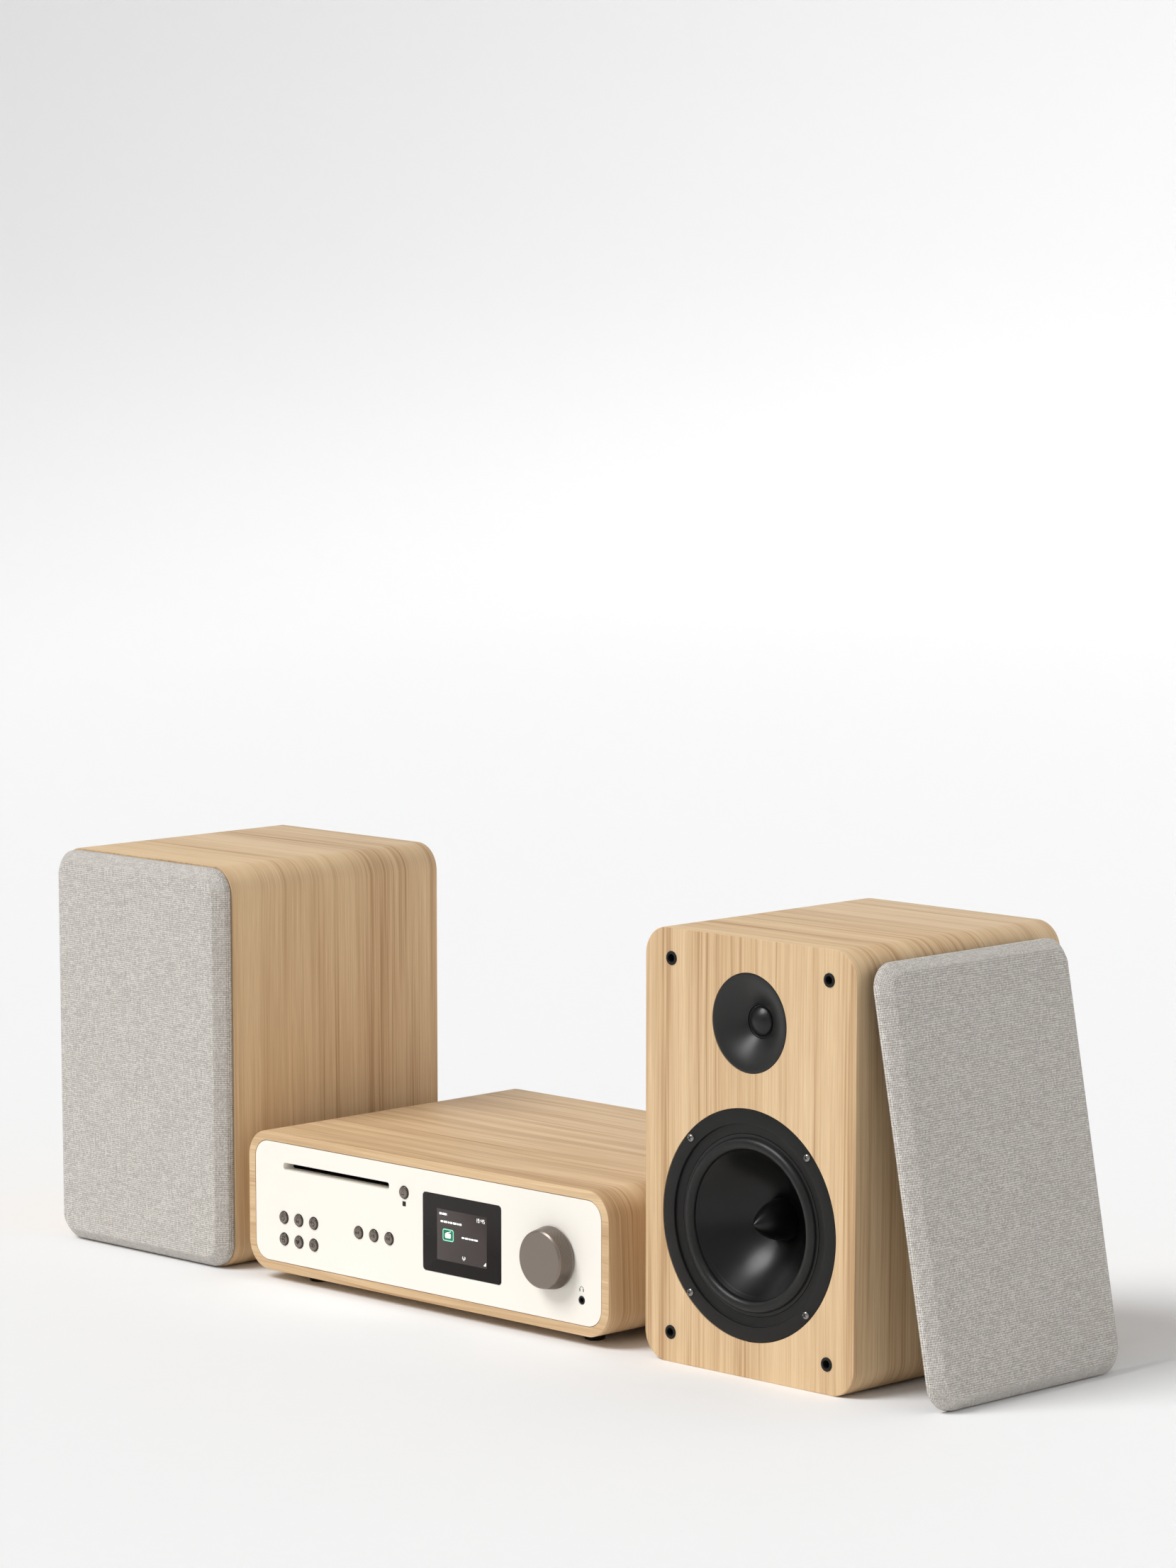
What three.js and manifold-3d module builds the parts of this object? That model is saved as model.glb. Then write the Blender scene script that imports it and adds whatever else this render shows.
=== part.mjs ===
// A mini hifi system: a veneered amplifier and disc player on four rubber feet, and two
// bookshelf speakers with cloth grilles. The left speaker wears its grille; the right one has
// its grille taken off and leaning against its outer side.
// Millimetres. +X is to the listener's right, -Y points out of the fronts and +Z is up.
import * as THREE from "three";
import { mergeVertices } from "three/addons/utils/BufferGeometryUtils.js";
import Module from "manifold-3d";

const wasm = await Module();
wasm.setup();

// ---------------------------------------------------------------- driving dimensions

// Gap between pieces that rest on, or are fixed to, one another.
const GAP = 0.3;
// Gap round a piece that slides or turns in a hole.
const RUNNING_GAP = 0.35;
// How far a joined solid reaches into its neighbour, and how far a cut runs past a face.
const WELD = 0.5;
const REACH = 1;

// Main unit: sleeve
const UNIT_W = 414;
const UNIT_H = 115;
const UNIT_D = 285;
const UNIT_CORNER_R = 23;
const UNIT_WALL = 7.7;

// Main unit: feet
const FOOT_H = 8.3;
const FOOT_R = 8.6;
const FOOT_TIP_R = 7.2;
const FOOT_LEFT_INSET = 56;
const FOOT_RIGHT_INSET = 41;
const FOOT_END_INSET = 26;

// Main unit: front panel. Heights are measured from the sleeve's underside.
const PANEL_T = 3;
const PANEL_GAP = 0.4;

const SLOT_W = 125.6;
const SLOT_H = 5.8;
const SLOT_X = 104.9;
const SLOT_Z = 88.2;
const SLOT_CORNER_R = 2;
const THROAT_T = 1.6;
const THROAT_DEPTH = 11;

const BUTTON_R = 5;
const BUTTON_PROUD = 1.2;
const BUTTON_CROWN = 0.6;
const BUTTON_LIP = 1.3;
const BUTTON_LIP_T = 1;
const BUTTON_STEM_R = 2;
const BUTTON_TRAVEL = 0.8;
const SWITCH_ROOM = 3;
const BUTTON_PITCH = 17.9;
const UPPER_ROW_Z = 45.7;
const LOWER_ROW_Z = 27.8;
const MENU_X = 42.4;
const TRANSPORT_X = 131.9;
const EJECT_X = 185.4;
const EJECT_Z = 85.6;

const WINDOW_W = 88.7;
const WINDOW_H = 62.8;
const WINDOW_T = 2;
const WINDOW_FROM_RIGHT = 162.6;
const WINDOW_Z = 57.9;
const WINDOW_CORNER_R = 3;
const SCREEN_MODULE_W = 72;
const SCREEN_MODULE_H = 54;

const KNOB_FROM_RIGHT = 61;
const KNOB_Z = 57.2;
const KNOB_R = 24.7;
const KNOB_FACE_R = 22.8;
const KNOB_DEPTH = 13.6;
const KNOB_CHAMFER = 1.4;
const KNOB_STANDOFF = 1.4;
const KNOB_BAND = 1;
const SHAFT_R = 3;
const SHAFT_HOLE_R = 4.4;
const SHAFT_IN_KNOB = 10;
const SHAFT_BEHIND_PANEL = 6.2;
const ENCODER_W = 12;

const JACK_FROM_RIGHT = 29.3;
const JACK_Z = 27.9;
const JACK_R = 3.2;
const JACK_BORE_R = 1.8;
const JACK_BODY_W = 12;
const JACK_END_T = 2;

// Main unit: circuit board behind the panel
const FRONT_BOARD_Y = 12;
const BOARD_T = 1.6;
const FRONT_BOARD_MARGIN = 0.8;
const NOTCH_GAP = 2;
const SWITCH_W = 6;

// Main unit: disc drive
const DRIVE_W = 145;
const DRIVE_D = 168;
const DRIVE_H = 26;
const DRIVE_Y = 15;
const DRIVE_BELOW_SLOT = 11;
const DISC_SPACE_D = 128;
const HUB_Y = 64;
const HUB_WELL_R = 20;
const HUB_WELL_DEPTH = 6.3;
const TURNTABLE_R = 15;
const TURNTABLE_T = 3.4;
const HUB_R = 7.2;
const HUB_H = 2.2;

// Main unit: chassis and boards
const CHASSIS_T = 1.6;
const CHASSIS_FRONT_Y = 16;
const FOLD_H = 5;
const REAR_RECESS = 4;
const REAR_T = 2;
const POST_R = 3;
const POST_H = 6;
const POST_INSET = 8;
const MAIN_BOARD = { x: 200, y: 60, w: 180, d: 140 };
const POWER_BOARD = { x: 26, y: 192, w: 130, d: 74 };
const HEATSINK = { x: 50, y: 20, w: 80, d: 24, h: 40, baseH: 10, fins: 7, finT: 2.4 };
const CAPACITORS = { x: 30, y: 100, pitch: 30, count: 4, r: 9, h: 30 };
const TRANSFORMER = { x: 70, y: 18, w: 40, d: 38, h: 32 };
const MAINS_FILTER = { x: 16, y: 18, w: 24, d: 20, h: 16 };

// Main unit: rear sockets
const INLET_X = 66;
const INLET_Z = 40;
const INLET_W = 21;
const INLET_H = 14;
const INLET_CORNER_R = 5;
const INLET_WALL = 2;
const INLET_DEPTH = 14;
const INLET_FLANGE = 3.5;
const INLET_FLANGE_T = 1.6;
const INLET_PIN_R = 1.2;
const INLET_PIN_PITCH = 8.6;
const INLET_PIN_L = 9;
const AERIAL_X = 190;
const AERIAL_Z = 84;
const AERIAL_R = 4.75;
const AERIAL_BORE_R = 1.6;
const AERIAL_L = 10;
const AERIAL_INSIDE = 4.6;
const AERIAL_NUT_R = 7.5;
const AERIAL_NUT_T = 2.5;
const AERIAL_NUT_SIDES = 6;
const TERMINALS_X = 310;
const TERMINALS_Z = 50;
const TERMINALS_W = 92;
const TERMINALS_H = 48;
const TERMINALS_T = 2.5;
const TERMINALS_CORNER_R = 4;
const TERMINAL_R = 5.6;
const TERMINAL_COLLAR_R = 4;
const TERMINAL_L = 14.5;
const TERMINAL_NECK = 3;
const TERMINAL_TAIL = 4;
const TERMINAL_PITCH_Z = 24;
const TERMINAL_INSET = 14;

// Speakers
const SPEAKER_W = 214.4;
const SPEAKER_H = 333.4;
const SPEAKER_D = 229.5;
const SPEAKER_CORNER_R = 22.2;
const SPEAKER_WALL = 12;
const BAFFLE_T = 18;
const DRIVER_HOLE_GAP = 1;
const LEFT_SPEAKER_GAP = 23.3;
const RIGHT_SPEAKER_GAP = 30;
const LEFT_SPEAKER_SETBACK = 5.6;
const RIGHT_SPEAKER_SETBACK = 9.4;

// Speakers: woofer. Depths are measured back from the baffle's face.
const WOOFER_Z = 116.4;
const WOOFER_R = 88.2;
const FLANGE_T = 4;
const STEP_R = 77.5;
const STEP_DEPTH = 2;
const SEAT_R = 70;
const SEAT_DEPTH = 3.9;
const BASKET_R = 71.5;
const BASKET_MOUTH_R = 64;
const BASKET_WALL = 3.5;
const BASKET_RIM_DEPTH = 12;
const BASKET_SHOULDER = 8;
const MAGNET_R = 45;
const MAGNET_BACK_T = 11;
const TOP_PLATE_STEP = 5;
const SCREW_PITCH_R = 83.8;
const SCREW_R = 3.7;
const SCREW_HEAD_T = 1.3;
const ROLL_OUTER_R = 65.3;
const ROLL_INNER_R = 58.3;
const ROLL_T = 0.8;
const LIP_OUTER_R = 69.2;
const LIP_INNER_R = 54.8;
const LIP_T = 0.6;
const CONE_R = 57.6;
const CONE_T = 1.3;
const CONE_NECK_R = 18.4;
const CONE_NECK_DEPTH = 38;
const CONE_FLARE = 4;
const COIL_FORMER_T = 1;
const COIL_FORMER_L = 14;
const COIL_SLOT_GAP = 0.7;
const COIL_SLOT_DEPTH = 22;
const PLUG_R = 16.4;
const PLUG_TIP_DEPTH = 6;
const PLUG_POINT = 0.8;

// Speakers: tweeter
const TWEETER_Z = 269.4;
const TWEETER_R = 37.5;
const TWEETER_FLANGE_T = 3;
const TWEETER_RIM = 0.8;
const TWEETER_BODY_R = 32;
const TWEETER_BODY_DEPTH = 17;
const TWEETER_MAGNET_R = 24;
const TWEETER_MAGNET_DEPTH = 34;
const THROAT_R = 12.8;
const THROAT_Y = 12.2;
const HORN_FLARE = 1.5;
const DOME_R = 11.6;
const DOME_RISE = 4.6;
const DOME_SKIRT = 1;
const DOME_PIT = 1.6;

// Speakers: rear terminals
const CUP_W = 84;
const CUP_H = 62;
const CUP_Z = 92;
const CUP_CORNER_R = 6;
const CUP_FLANGE = 7;
const CUP_FLANGE_T = 3;
const CUP_WALL = 2.5;
const CUP_DEPTH = 20;
const CUP_POST_PITCH = 34;
const CROSSOVER_W = 60;
const CROSSOVER_H = 40;
const CROSSOVER_T = 18;

// Grilles and their sockets
const SOCKET_R = 5.3;
const SOCKET_BORE_R = 3.1;
const SOCKET_DEPTH = 15;
const SOCKET_BORE_DEPTH = 13;
const SOCKET_INSET_X = 27;
const SOCKET_INSET_Z = 23.2;
const PEG_L = 11.7;
const GRILLE_T = 13.4;
const GRILLE_OFFSET = 1;
const GRILLE_INSET = 1.4;
const GRILLE_CHAMFER_DEPTH = 8;
const GRILLE_CHAMFER_W = 8.5;
const CLOTH_T = 0.8;
const GRILLE_RAIL = 17;
const GRILLE_OPENING_R = 40;
const LEAN_FOOT = 70.4;
const LEAN_SETBACK = 5;

// Facets: of a quarter circle at a corner, and of a whole turn
const CORNER_FACETS = 6;
const SMALL_CORNER_FACETS = 4;
const DRIVER_FACETS = 24;
const DOME_FACETS = 20;
const SOCKET_FACETS = 16;
const SMALL_FACETS = 12;
const THIN_FACETS = 8;

// ---------------------------------------------------------------- shape helpers

// A closed three.js geometry as a solid that can be joined and cut.
function solid(geometry) {
  const bare = geometry.clone();
  bare.deleteAttribute("normal");
  bare.deleteAttribute("uv");
  const welded = mergeVertices(bare, 1e-4);
  const mesh = new wasm.Mesh({
    numProp: 3,
    vertProperties: welded.attributes.position.array,
    triVerts: new Uint32Array(welded.index.array),
  });
  return new wasm.Manifold(mesh);
}

// A solid back as a three.js geometry.
function geometryOf(body) {
  const mesh = body.getMesh();
  const geometry = new THREE.BufferGeometry();
  geometry.setAttribute("position", new THREE.BufferAttribute(mesh.vertProperties, 3));
  geometry.setIndex(new THREE.BufferAttribute(mesh.triVerts, 1));
  geometry.computeVertexNormals();
  return geometry;
}

function joined(solids) {
  return solids.reduce((whole, next) => whole.add(next));
}

function cut(body, tools) {
  return tools.reduce((rest, tool) => rest.subtract(tool), body);
}

// Outline points of a rectangle with round corners, from its lowest corner, in the XZ plane.
function roundedRect(x, z, w, h, r, facets = CORNER_FACETS) {
  const corners = [
    [x + w - r, z + r, -90],
    [x + w - r, z + h - r, 0],
    [x + r, z + h - r, 90],
    [x + r, z + r, 180],
  ];
  return corners.flatMap(([cx, cz, start]) =>
    Array.from({ length: facets + 1 }, (_, i) => {
      const angle = THREE.MathUtils.degToRad(start + (90 * i) / facets);
      return new THREE.Vector2(cx + r * Math.cos(angle), cz + r * Math.sin(angle));
    }),
  );
}

// An outline in the XZ plane, run back along +Y from y over the given depth.
function plate(points, y, depth) {
  const geometry = new THREE.ExtrudeGeometry(new THREE.Shape(points), { depth, bevelEnabled: false });
  return solid(geometry.rotateX(Math.PI / 2).translate(0, y + depth, 0));
}

// A box from its lowest corner.
function block(x, y, z, w, d, h) {
  return solid(new THREE.BoxGeometry(w, d, h).translate(x + w / 2, y + d / 2, z + h / 2));
}

// A cylinder along Y, from y over the given depth.
function rod(x, z, r, y, depth, facets = SMALL_FACETS) {
  return solid(new THREE.CylinderGeometry(r, r, depth, facets).translate(x, y + depth / 2, z));
}

// A cylinder along Z, from z over the given height.
function post(x, y, r, z, height, facets = SMALL_FACETS) {
  const geometry = new THREE.CylinderGeometry(r, r, height, facets).rotateX(Math.PI / 2);
  return solid(geometry.translate(x, y, z + height / 2));
}

// A [radius, y] outline turned round the Y axis.
function turned(outline, facets) {
  const points = outline.map(([r, y]) => new THREE.Vector2(r, y));
  if (THREE.ShapeUtils.isClockWise(points)) points.reverse();
  if (points.every((p) => p.x > 0)) points.push(points[0].clone());
  return solid(new THREE.LatheGeometry(points, facets));
}

// Points of an arc round (cr, cy), angles in degrees.
function arc(cr, cy, radius, from, to, steps) {
  return Array.from({ length: steps + 1 }, (_, i) => {
    const angle = THREE.MathUtils.degToRad(from + ((to - from) * i) / steps);
    return [cr + radius * Math.cos(angle), cy + radius * Math.sin(angle)];
  });
}

function piece(name, body, color, roughness, metalness = 0) {
  const material = new THREE.MeshStandardMaterial({ color, roughness, metalness });
  const mesh = new THREE.Mesh(geometryOf(body), material);
  mesh.name = name;
  return mesh;
}

// Finishes: colour, roughness, metalness
const VENEER = [0xdebe96, 0.5];
const CREAM = [0xfffaee, 0.45];
const TAUPE_METAL = [0x897e77, 0.35, 0.6];
const SMOKED_ACRYLIC = [0x14100f, 0.08];
const BLACK_PLASTIC = [0x1c1c1c, 0.5];
const BLACK_STEEL = [0x2a2a2a, 0.5, 0.4];
const ZINC = [0xb8bab8, 0.4, 0.8];
const CIRCUIT_BOARD = [0x1f5a3a, 0.6];
const RUBBER = [0x151515, 0.9];
const DRIVER_BLACK = [0x383735, 0.45];
const CONE_BLACK = [0x1b1a19, 0.3];
const SILK = [0x222222, 0.7];
const CLOTH = [0xc9c5be, 0.95];

// ---------------------------------------------------------------- main unit

const slotLeft = SLOT_X - SLOT_W / 2;
const slotFloor = SLOT_Z - SLOT_H / 2;
const knobX = UNIT_W - KNOB_FROM_RIGHT;
const jackX = UNIT_W - JACK_FROM_RIGHT;
const windowX = UNIT_W - WINDOW_FROM_RIGHT;
const driveX = SLOT_X - DRIVE_W / 2;
const driveZ = slotFloor - DRIVE_BELOW_SLOT;
const floorZ = UNIT_WALL + GAP;
const boardZ = floorZ + CHASSIS_T + POST_H + GAP;
const rearY = UNIT_D - REAR_RECESS - REAR_T;
const rearFaceY = rearY + REAR_T + GAP;
const stemEndY = FRONT_BOARD_Y - BUTTON_TRAVEL - SWITCH_ROOM;

const buttons = [
  ["button_standby", MENU_X, UPPER_ROW_Z],
  ["button_home", MENU_X + BUTTON_PITCH, UPPER_ROW_Z],
  ["button_back", MENU_X + 2 * BUTTON_PITCH, UPPER_ROW_Z],
  ["button_source", MENU_X, LOWER_ROW_Z],
  ["button_favourite", MENU_X + BUTTON_PITCH, LOWER_ROW_Z],
  ["button_pair", MENU_X + 2 * BUTTON_PITCH, LOWER_ROW_Z],
  ["button_previous", TRANSPORT_X, UPPER_ROW_Z],
  ["button_play_pause", TRANSPORT_X + BUTTON_PITCH, UPPER_ROW_Z],
  ["button_next", TRANSPORT_X + 2 * BUTTON_PITCH, UPPER_ROW_Z],
  ["button_eject", EJECT_X, EJECT_Z],
];

// Outline of what fits inside the sleeve with a gap all round.
function sleeveInside(gap) {
  const inset = UNIT_WALL + gap;
  const w = UNIT_W - 2 * inset;
  const h = UNIT_H - 2 * inset;
  return roundedRect(inset, inset, w, h, Math.max(UNIT_CORNER_R - inset, 1));
}

function cabinetSleeve() {
  const outside = plate(roundedRect(0, 0, UNIT_W, UNIT_H, UNIT_CORNER_R), 0, UNIT_D);
  return cut(outside, [plate(sleeveInside(0), -REACH, UNIT_D + 2 * REACH)]);
}

function slotOutline(margin) {
  const w = SLOT_W + 2 * margin;
  const h = SLOT_H + 2 * margin;
  const r = SLOT_CORNER_R + margin;
  return roundedRect(slotLeft - margin, slotFloor - margin, w, h, r, SMALL_CORNER_FACETS);
}

function windowOutline(margin) {
  const w = WINDOW_W + 2 * margin;
  const h = WINDOW_H + 2 * margin;
  const r = WINDOW_CORNER_R + margin;
  return roundedRect(windowX - w / 2, WINDOW_Z - h / 2, w, h, r, SMALL_CORNER_FACETS);
}

// The flush front, with the moulded throat that guides a disc into the drive.
function frontPanel() {
  const throatDepth = THROAT_DEPTH - PANEL_T;
  const face = plate(sleeveInside(PANEL_GAP), 0, PANEL_T);
  const throat = plate(slotOutline(THROAT_T), PANEL_T - WELD, throatDepth + WELD);
  const through = PANEL_T + 2 * REACH;
  return cut(face.add(throat), [
    plate(slotOutline(0), -REACH, THROAT_DEPTH + 2 * REACH),
    plate(windowOutline(GAP), -REACH, through),
    rod(knobX, KNOB_Z, SHAFT_HOLE_R, -REACH, through),
    rod(jackX, JACK_Z, JACK_R + GAP, -REACH, through),
    ...buttons.map(([, x, z]) => rod(x, z, BUTTON_R + RUNNING_GAP, -REACH, through)),
  ]);
}

// A crowned cap, a lip that stops it behind the panel, and a stem to its switch.
function buttonBody() {
  const lipY = PANEL_T + GAP;
  const crownRadius = (BUTTON_R ** 2 + BUTTON_CROWN ** 2) / (2 * BUTTON_CROWN);
  const spread = THREE.MathUtils.radToDeg(Math.asin(BUTTON_R / crownRadius));
  const crownY = -BUTTON_PROUD - BUTTON_CROWN + crownRadius;
  const steps = 2;
  return turned(
    [
      ...arc(0, crownY, crownRadius, -90, -90 + spread, steps),
      [BUTTON_R, lipY],
      [BUTTON_R + BUTTON_LIP, lipY],
      [BUTTON_R + BUTTON_LIP, lipY + BUTTON_LIP_T],
      [BUTTON_STEM_R, lipY + BUTTON_LIP_T],
      [BUTTON_STEM_R, stemEndY],
      [0, stemEndY],
    ],
    SMALL_FACETS,
  );
}

// The module fills the depth from the window to the board, smaller than the panel's cut-out.
function displayModule() {
  const y = WINDOW_T + GAP;
  const x = windowX - SCREEN_MODULE_W / 2;
  const z = WINDOW_Z - SCREEN_MODULE_H / 2;
  return block(x, y, z, SCREEN_MODULE_W, FRONT_BOARD_Y - GAP - y, SCREEN_MODULE_H);
}

// An L-shaped board that leaves room for the disc drive, with a switch behind each button and
// the volume encoder's bored body.
function frontBoard() {
  // Its square corners clear the sleeve's round ones.
  const cornerR = UNIT_CORNER_R - UNIT_WALL;
  const inset = UNIT_WALL + cornerR * (1 - Math.SQRT1_2) + FRONT_BOARD_MARGIN;
  const notchX = driveX + DRIVE_W + NOTCH_GAP;
  const notchZ = Math.min(slotFloor - THROAT_T, driveZ) - NOTCH_GAP;
  const right = UNIT_W - inset;
  const top = UNIT_H - inset;
  const outline = [
    [inset, inset],
    [right, inset],
    [right, top],
    [notchX, top],
    [notchX, notchZ],
    [inset, notchZ],
  ];
  const points = outline.map(([x, z]) => new THREE.Vector2(x, z));
  const board = plate(points, FRONT_BOARD_Y, BOARD_T);
  const switchY = stemEndY + BUTTON_TRAVEL + GAP;
  const switchDepth = FRONT_BOARD_Y - switchY + WELD;
  const half = SWITCH_W / 2;
  const switches = buttons.map(([, x, z]) =>
    block(x - half, switchY, z - half, SWITCH_W, switchDepth, SWITCH_W),
  );
  const encoderY = PANEL_T + GAP;
  const encoderX = knobX - ENCODER_W / 2;
  const encoderZ = KNOB_Z - ENCODER_W / 2;
  const encoderDepth = FRONT_BOARD_Y - encoderY + WELD;
  const encoder = block(encoderX, encoderY, encoderZ, ENCODER_W, encoderDepth, ENCODER_W);
  const boreDepth = FRONT_BOARD_Y - encoderY + REACH;
  const bore = rod(knobX, KNOB_Z, SHAFT_R + RUNNING_GAP, encoderY - REACH, boreDepth);
  return cut(joined([board, ...switches, encoder]), [bore]);
}

function volumeShaft() {
  const front = -KNOB_STANDOFF - SHAFT_IN_KNOB;
  return rod(knobX, KNOB_Z, SHAFT_R, front, PANEL_T + SHAFT_BEHIND_PANEL - front);
}

// A drum that narrows a little to a chamfered face, bored from behind for the shaft.
function volumeKnob() {
  const back = -KNOB_STANDOFF;
  const front = back - KNOB_DEPTH;
  const boreEnd = back - SHAFT_IN_KNOB - GAP;
  const boreR = SHAFT_R + RUNNING_GAP;
  const outline = [
    [0, front],
    [KNOB_FACE_R - KNOB_CHAMFER, front],
    [KNOB_FACE_R, front + KNOB_CHAMFER],
    [KNOB_R, back - KNOB_BAND],
    [KNOB_R, back],
    [boreR, back],
    [boreR, boreEnd],
    [0, boreEnd],
  ];
  return turned(outline, DRIVER_FACETS);
}

function headphoneSocket() {
  const bodyY = PANEL_T + GAP;
  const half = JACK_BODY_W / 2;
  const bodyDepth = FRONT_BOARD_Y - GAP - bodyY;
  const nozzle = rod(jackX, JACK_Z, JACK_R, 0, bodyY + WELD);
  const body = block(jackX - half, bodyY, JACK_Z - half, JACK_BODY_W, bodyDepth, JACK_BODY_W);
  const boreDepth = bodyY + bodyDepth - JACK_END_T + REACH;
  return cut(nozzle.add(body), [rod(jackX, JACK_Z, JACK_BORE_R, -REACH, boreDepth)]);
}

// The closed drive, with the flat space that takes a disc and a well for its turntable.
function discDrive() {
  const body = block(driveX, DRIVE_Y, driveZ, DRIVE_W, DRIVE_D, DRIVE_H);
  const spaceDepth = DISC_SPACE_D + REACH;
  const discSpace = block(slotLeft, DRIVE_Y - REACH, slotFloor, SLOT_W, spaceDepth, SLOT_H);
  const wellFloor = slotFloor - HUB_WELL_DEPTH;
  const well = post(SLOT_X, DRIVE_Y + HUB_Y, HUB_WELL_R, wellFloor, HUB_WELL_DEPTH + REACH);
  return cut(body, [discSpace, well]);
}

function discTurntable() {
  const z = slotFloor - HUB_WELL_DEPTH + GAP;
  const plateau = post(SLOT_X, DRIVE_Y + HUB_Y, TURNTABLE_R, z, TURNTABLE_T, DRIVER_FACETS);
  return plateau.add(post(SLOT_X, DRIVE_Y + HUB_Y, HUB_R, z + TURNTABLE_T - WELD, HUB_H + WELD));
}

// Corner points of the board's fixing posts.
function postPlaces({ x, y, w, d }) {
  return [POST_INSET, w - POST_INSET].flatMap((px) =>
    [POST_INSET, d - POST_INSET].map((py) => [x + px, y + py]),
  );
}

// Steel floor and rear panel in one folded piece, with posts for the boards and the drive.
function chassis() {
  const inset = UNIT_WALL + UNIT_CORNER_R;
  const width = UNIT_W - 2 * inset;
  const floorDepth = rearY - CHASSIS_FRONT_Y + WELD;
  const floor = block(inset, CHASSIS_FRONT_Y, floorZ, width, floorDepth, CHASSIS_T);
  const rear = plate(sleeveInside(PANEL_GAP), rearY, REAR_T);
  const fold = block(inset, rearY - WELD, floorZ, width, REAR_T, FOLD_H);
  const postFoot = floorZ + CHASSIS_T - WELD;
  const standing = (places, top) =>
    places.map(([x, y]) => post(x, y, POST_R, postFoot, top - GAP - postFoot, THIN_FACETS));
  const boardPosts = standing([MAIN_BOARD, POWER_BOARD].flatMap(postPlaces), boardZ);
  const driveBox = { x: driveX, y: DRIVE_Y, w: DRIVE_W, d: DRIVE_D };
  const drivePosts = standing(postPlaces(driveBox), driveZ);
  const holeY = rearY - REACH;
  const through = REAR_T + 2 * REACH;
  return cut(joined([floor, rear, fold, ...boardPosts, ...drivePosts]), [
    plate(inletOutline(GAP), holeY, through),
    rod(AERIAL_X, AERIAL_Z, AERIAL_R + GAP, holeY, through),
    ...terminalPlaces().map(([x, z]) => rod(x, z, TERMINAL_COLLAR_R + GAP, holeY, through)),
  ]);
}

function mainBoard() {
  const { x, y, w, d } = MAIN_BOARD;
  const top = boardZ + BOARD_T - WELD;
  const sink = HEATSINK;
  const base = block(x + sink.x, y + sink.y, top, sink.w, sink.d, sink.baseH);
  const pitch = (sink.w - sink.finT) / (sink.fins - 1);
  const fins = Array.from({ length: sink.fins }, (_, i) =>
    block(x + sink.x + i * pitch, y + sink.y, top, sink.finT, sink.d, sink.h),
  );
  const caps = Array.from({ length: CAPACITORS.count }, (_, i) => {
    const capX = x + CAPACITORS.x + i * CAPACITORS.pitch;
    return post(capX, y + CAPACITORS.y, CAPACITORS.r, top, CAPACITORS.h);
  });
  return joined([block(x, y, boardZ, w, d, BOARD_T), base, ...fins, ...caps]);
}

function powerSupply() {
  const { x, y, w, d } = POWER_BOARD;
  const top = boardZ + BOARD_T - WELD;
  const parts = [TRANSFORMER, MAINS_FILTER].map((part) =>
    block(x + part.x, y + part.y, top, part.w, part.d, part.h),
  );
  return joined([block(x, y, boardZ, w, d, BOARD_T), ...parts]);
}

function inletOutline(margin) {
  const w = INLET_W + 2 * margin;
  const h = INLET_H + 2 * margin;
  const r = INLET_CORNER_R + margin;
  return roundedRect(INLET_X - w / 2, INLET_Z - h / 2, w, h, r, SMALL_CORNER_FACETS);
}

// A two-pin mains inlet, put in from behind the rear panel's face.
function mainsInlet() {
  const back = rearFaceY - INLET_DEPTH;
  const floor = back + INLET_WALL;
  const flange = plate(inletOutline(INLET_FLANGE), rearFaceY, INLET_FLANGE_T);
  const body = plate(inletOutline(0), back, INLET_DEPTH + WELD);
  const mouth = plate(inletOutline(-INLET_WALL), floor, INLET_DEPTH + INLET_FLANGE_T);
  const pins = [-0.5, 0.5].map((side) =>
    rod(INLET_X + side * INLET_PIN_PITCH, INLET_Z, INLET_PIN_R, floor - WELD, INLET_PIN_L),
  );
  return joined([cut(flange.add(body), [mouth]), ...pins]);
}

function aerialSocket() {
  const length = AERIAL_INSIDE + AERIAL_L;
  const tube = rod(AERIAL_X, AERIAL_Z, AERIAL_R, rearFaceY - AERIAL_INSIDE, length);
  const nut = rod(AERIAL_X, AERIAL_Z, AERIAL_NUT_R, rearFaceY, AERIAL_NUT_T, AERIAL_NUT_SIDES);
  const bore = rod(AERIAL_X, AERIAL_Z, AERIAL_BORE_R, rearFaceY, AERIAL_L + REACH);
  return cut(tube.add(nut), [bore]);
}

function terminalPlaces() {
  const run = TERMINALS_W / 2 - TERMINAL_INSET;
  return [-run, run].flatMap((dx) =>
    [-0.5, 0.5].map((up) => [TERMINALS_X + dx, TERMINALS_Z + up * TERMINAL_PITCH_Z]),
  );
}

// A screw terminal along Y: collar through the panel, neck and grip.
function bindingPost(x, z, faceY, inside) {
  return [
    rod(x, z, TERMINAL_COLLAR_R, faceY - inside, inside + TERMINAL_NECK + WELD),
    rod(x, z, TERMINAL_R, faceY + TERMINAL_NECK, TERMINAL_L - TERMINAL_NECK),
  ];
}

function speakerTerminals() {
  const x = TERMINALS_X - TERMINALS_W / 2;
  const z = TERMINALS_Z - TERMINALS_H / 2;
  const outline = roundedRect(x, z, TERMINALS_W, TERMINALS_H, TERMINALS_CORNER_R, SMALL_CORNER_FACETS);
  const backing = plate(outline, rearFaceY, TERMINALS_T);
  const postY = rearFaceY + TERMINALS_T;
  const inside = TERMINALS_T + GAP + REAR_T + TERMINAL_TAIL;
  const posts = terminalPlaces().flatMap(([px, pz]) => bindingPost(px, pz, postY, inside));
  return joined([backing, ...posts]);
}

function foot() {
  const outline = [
    [0, 0],
    [FOOT_TIP_R, 0],
    [FOOT_R, FOOT_R - FOOT_TIP_R],
    [FOOT_R, FOOT_H - GAP],
    [0, FOOT_H - GAP],
  ];
  return turned(outline, SMALL_FACETS);
}

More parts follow.
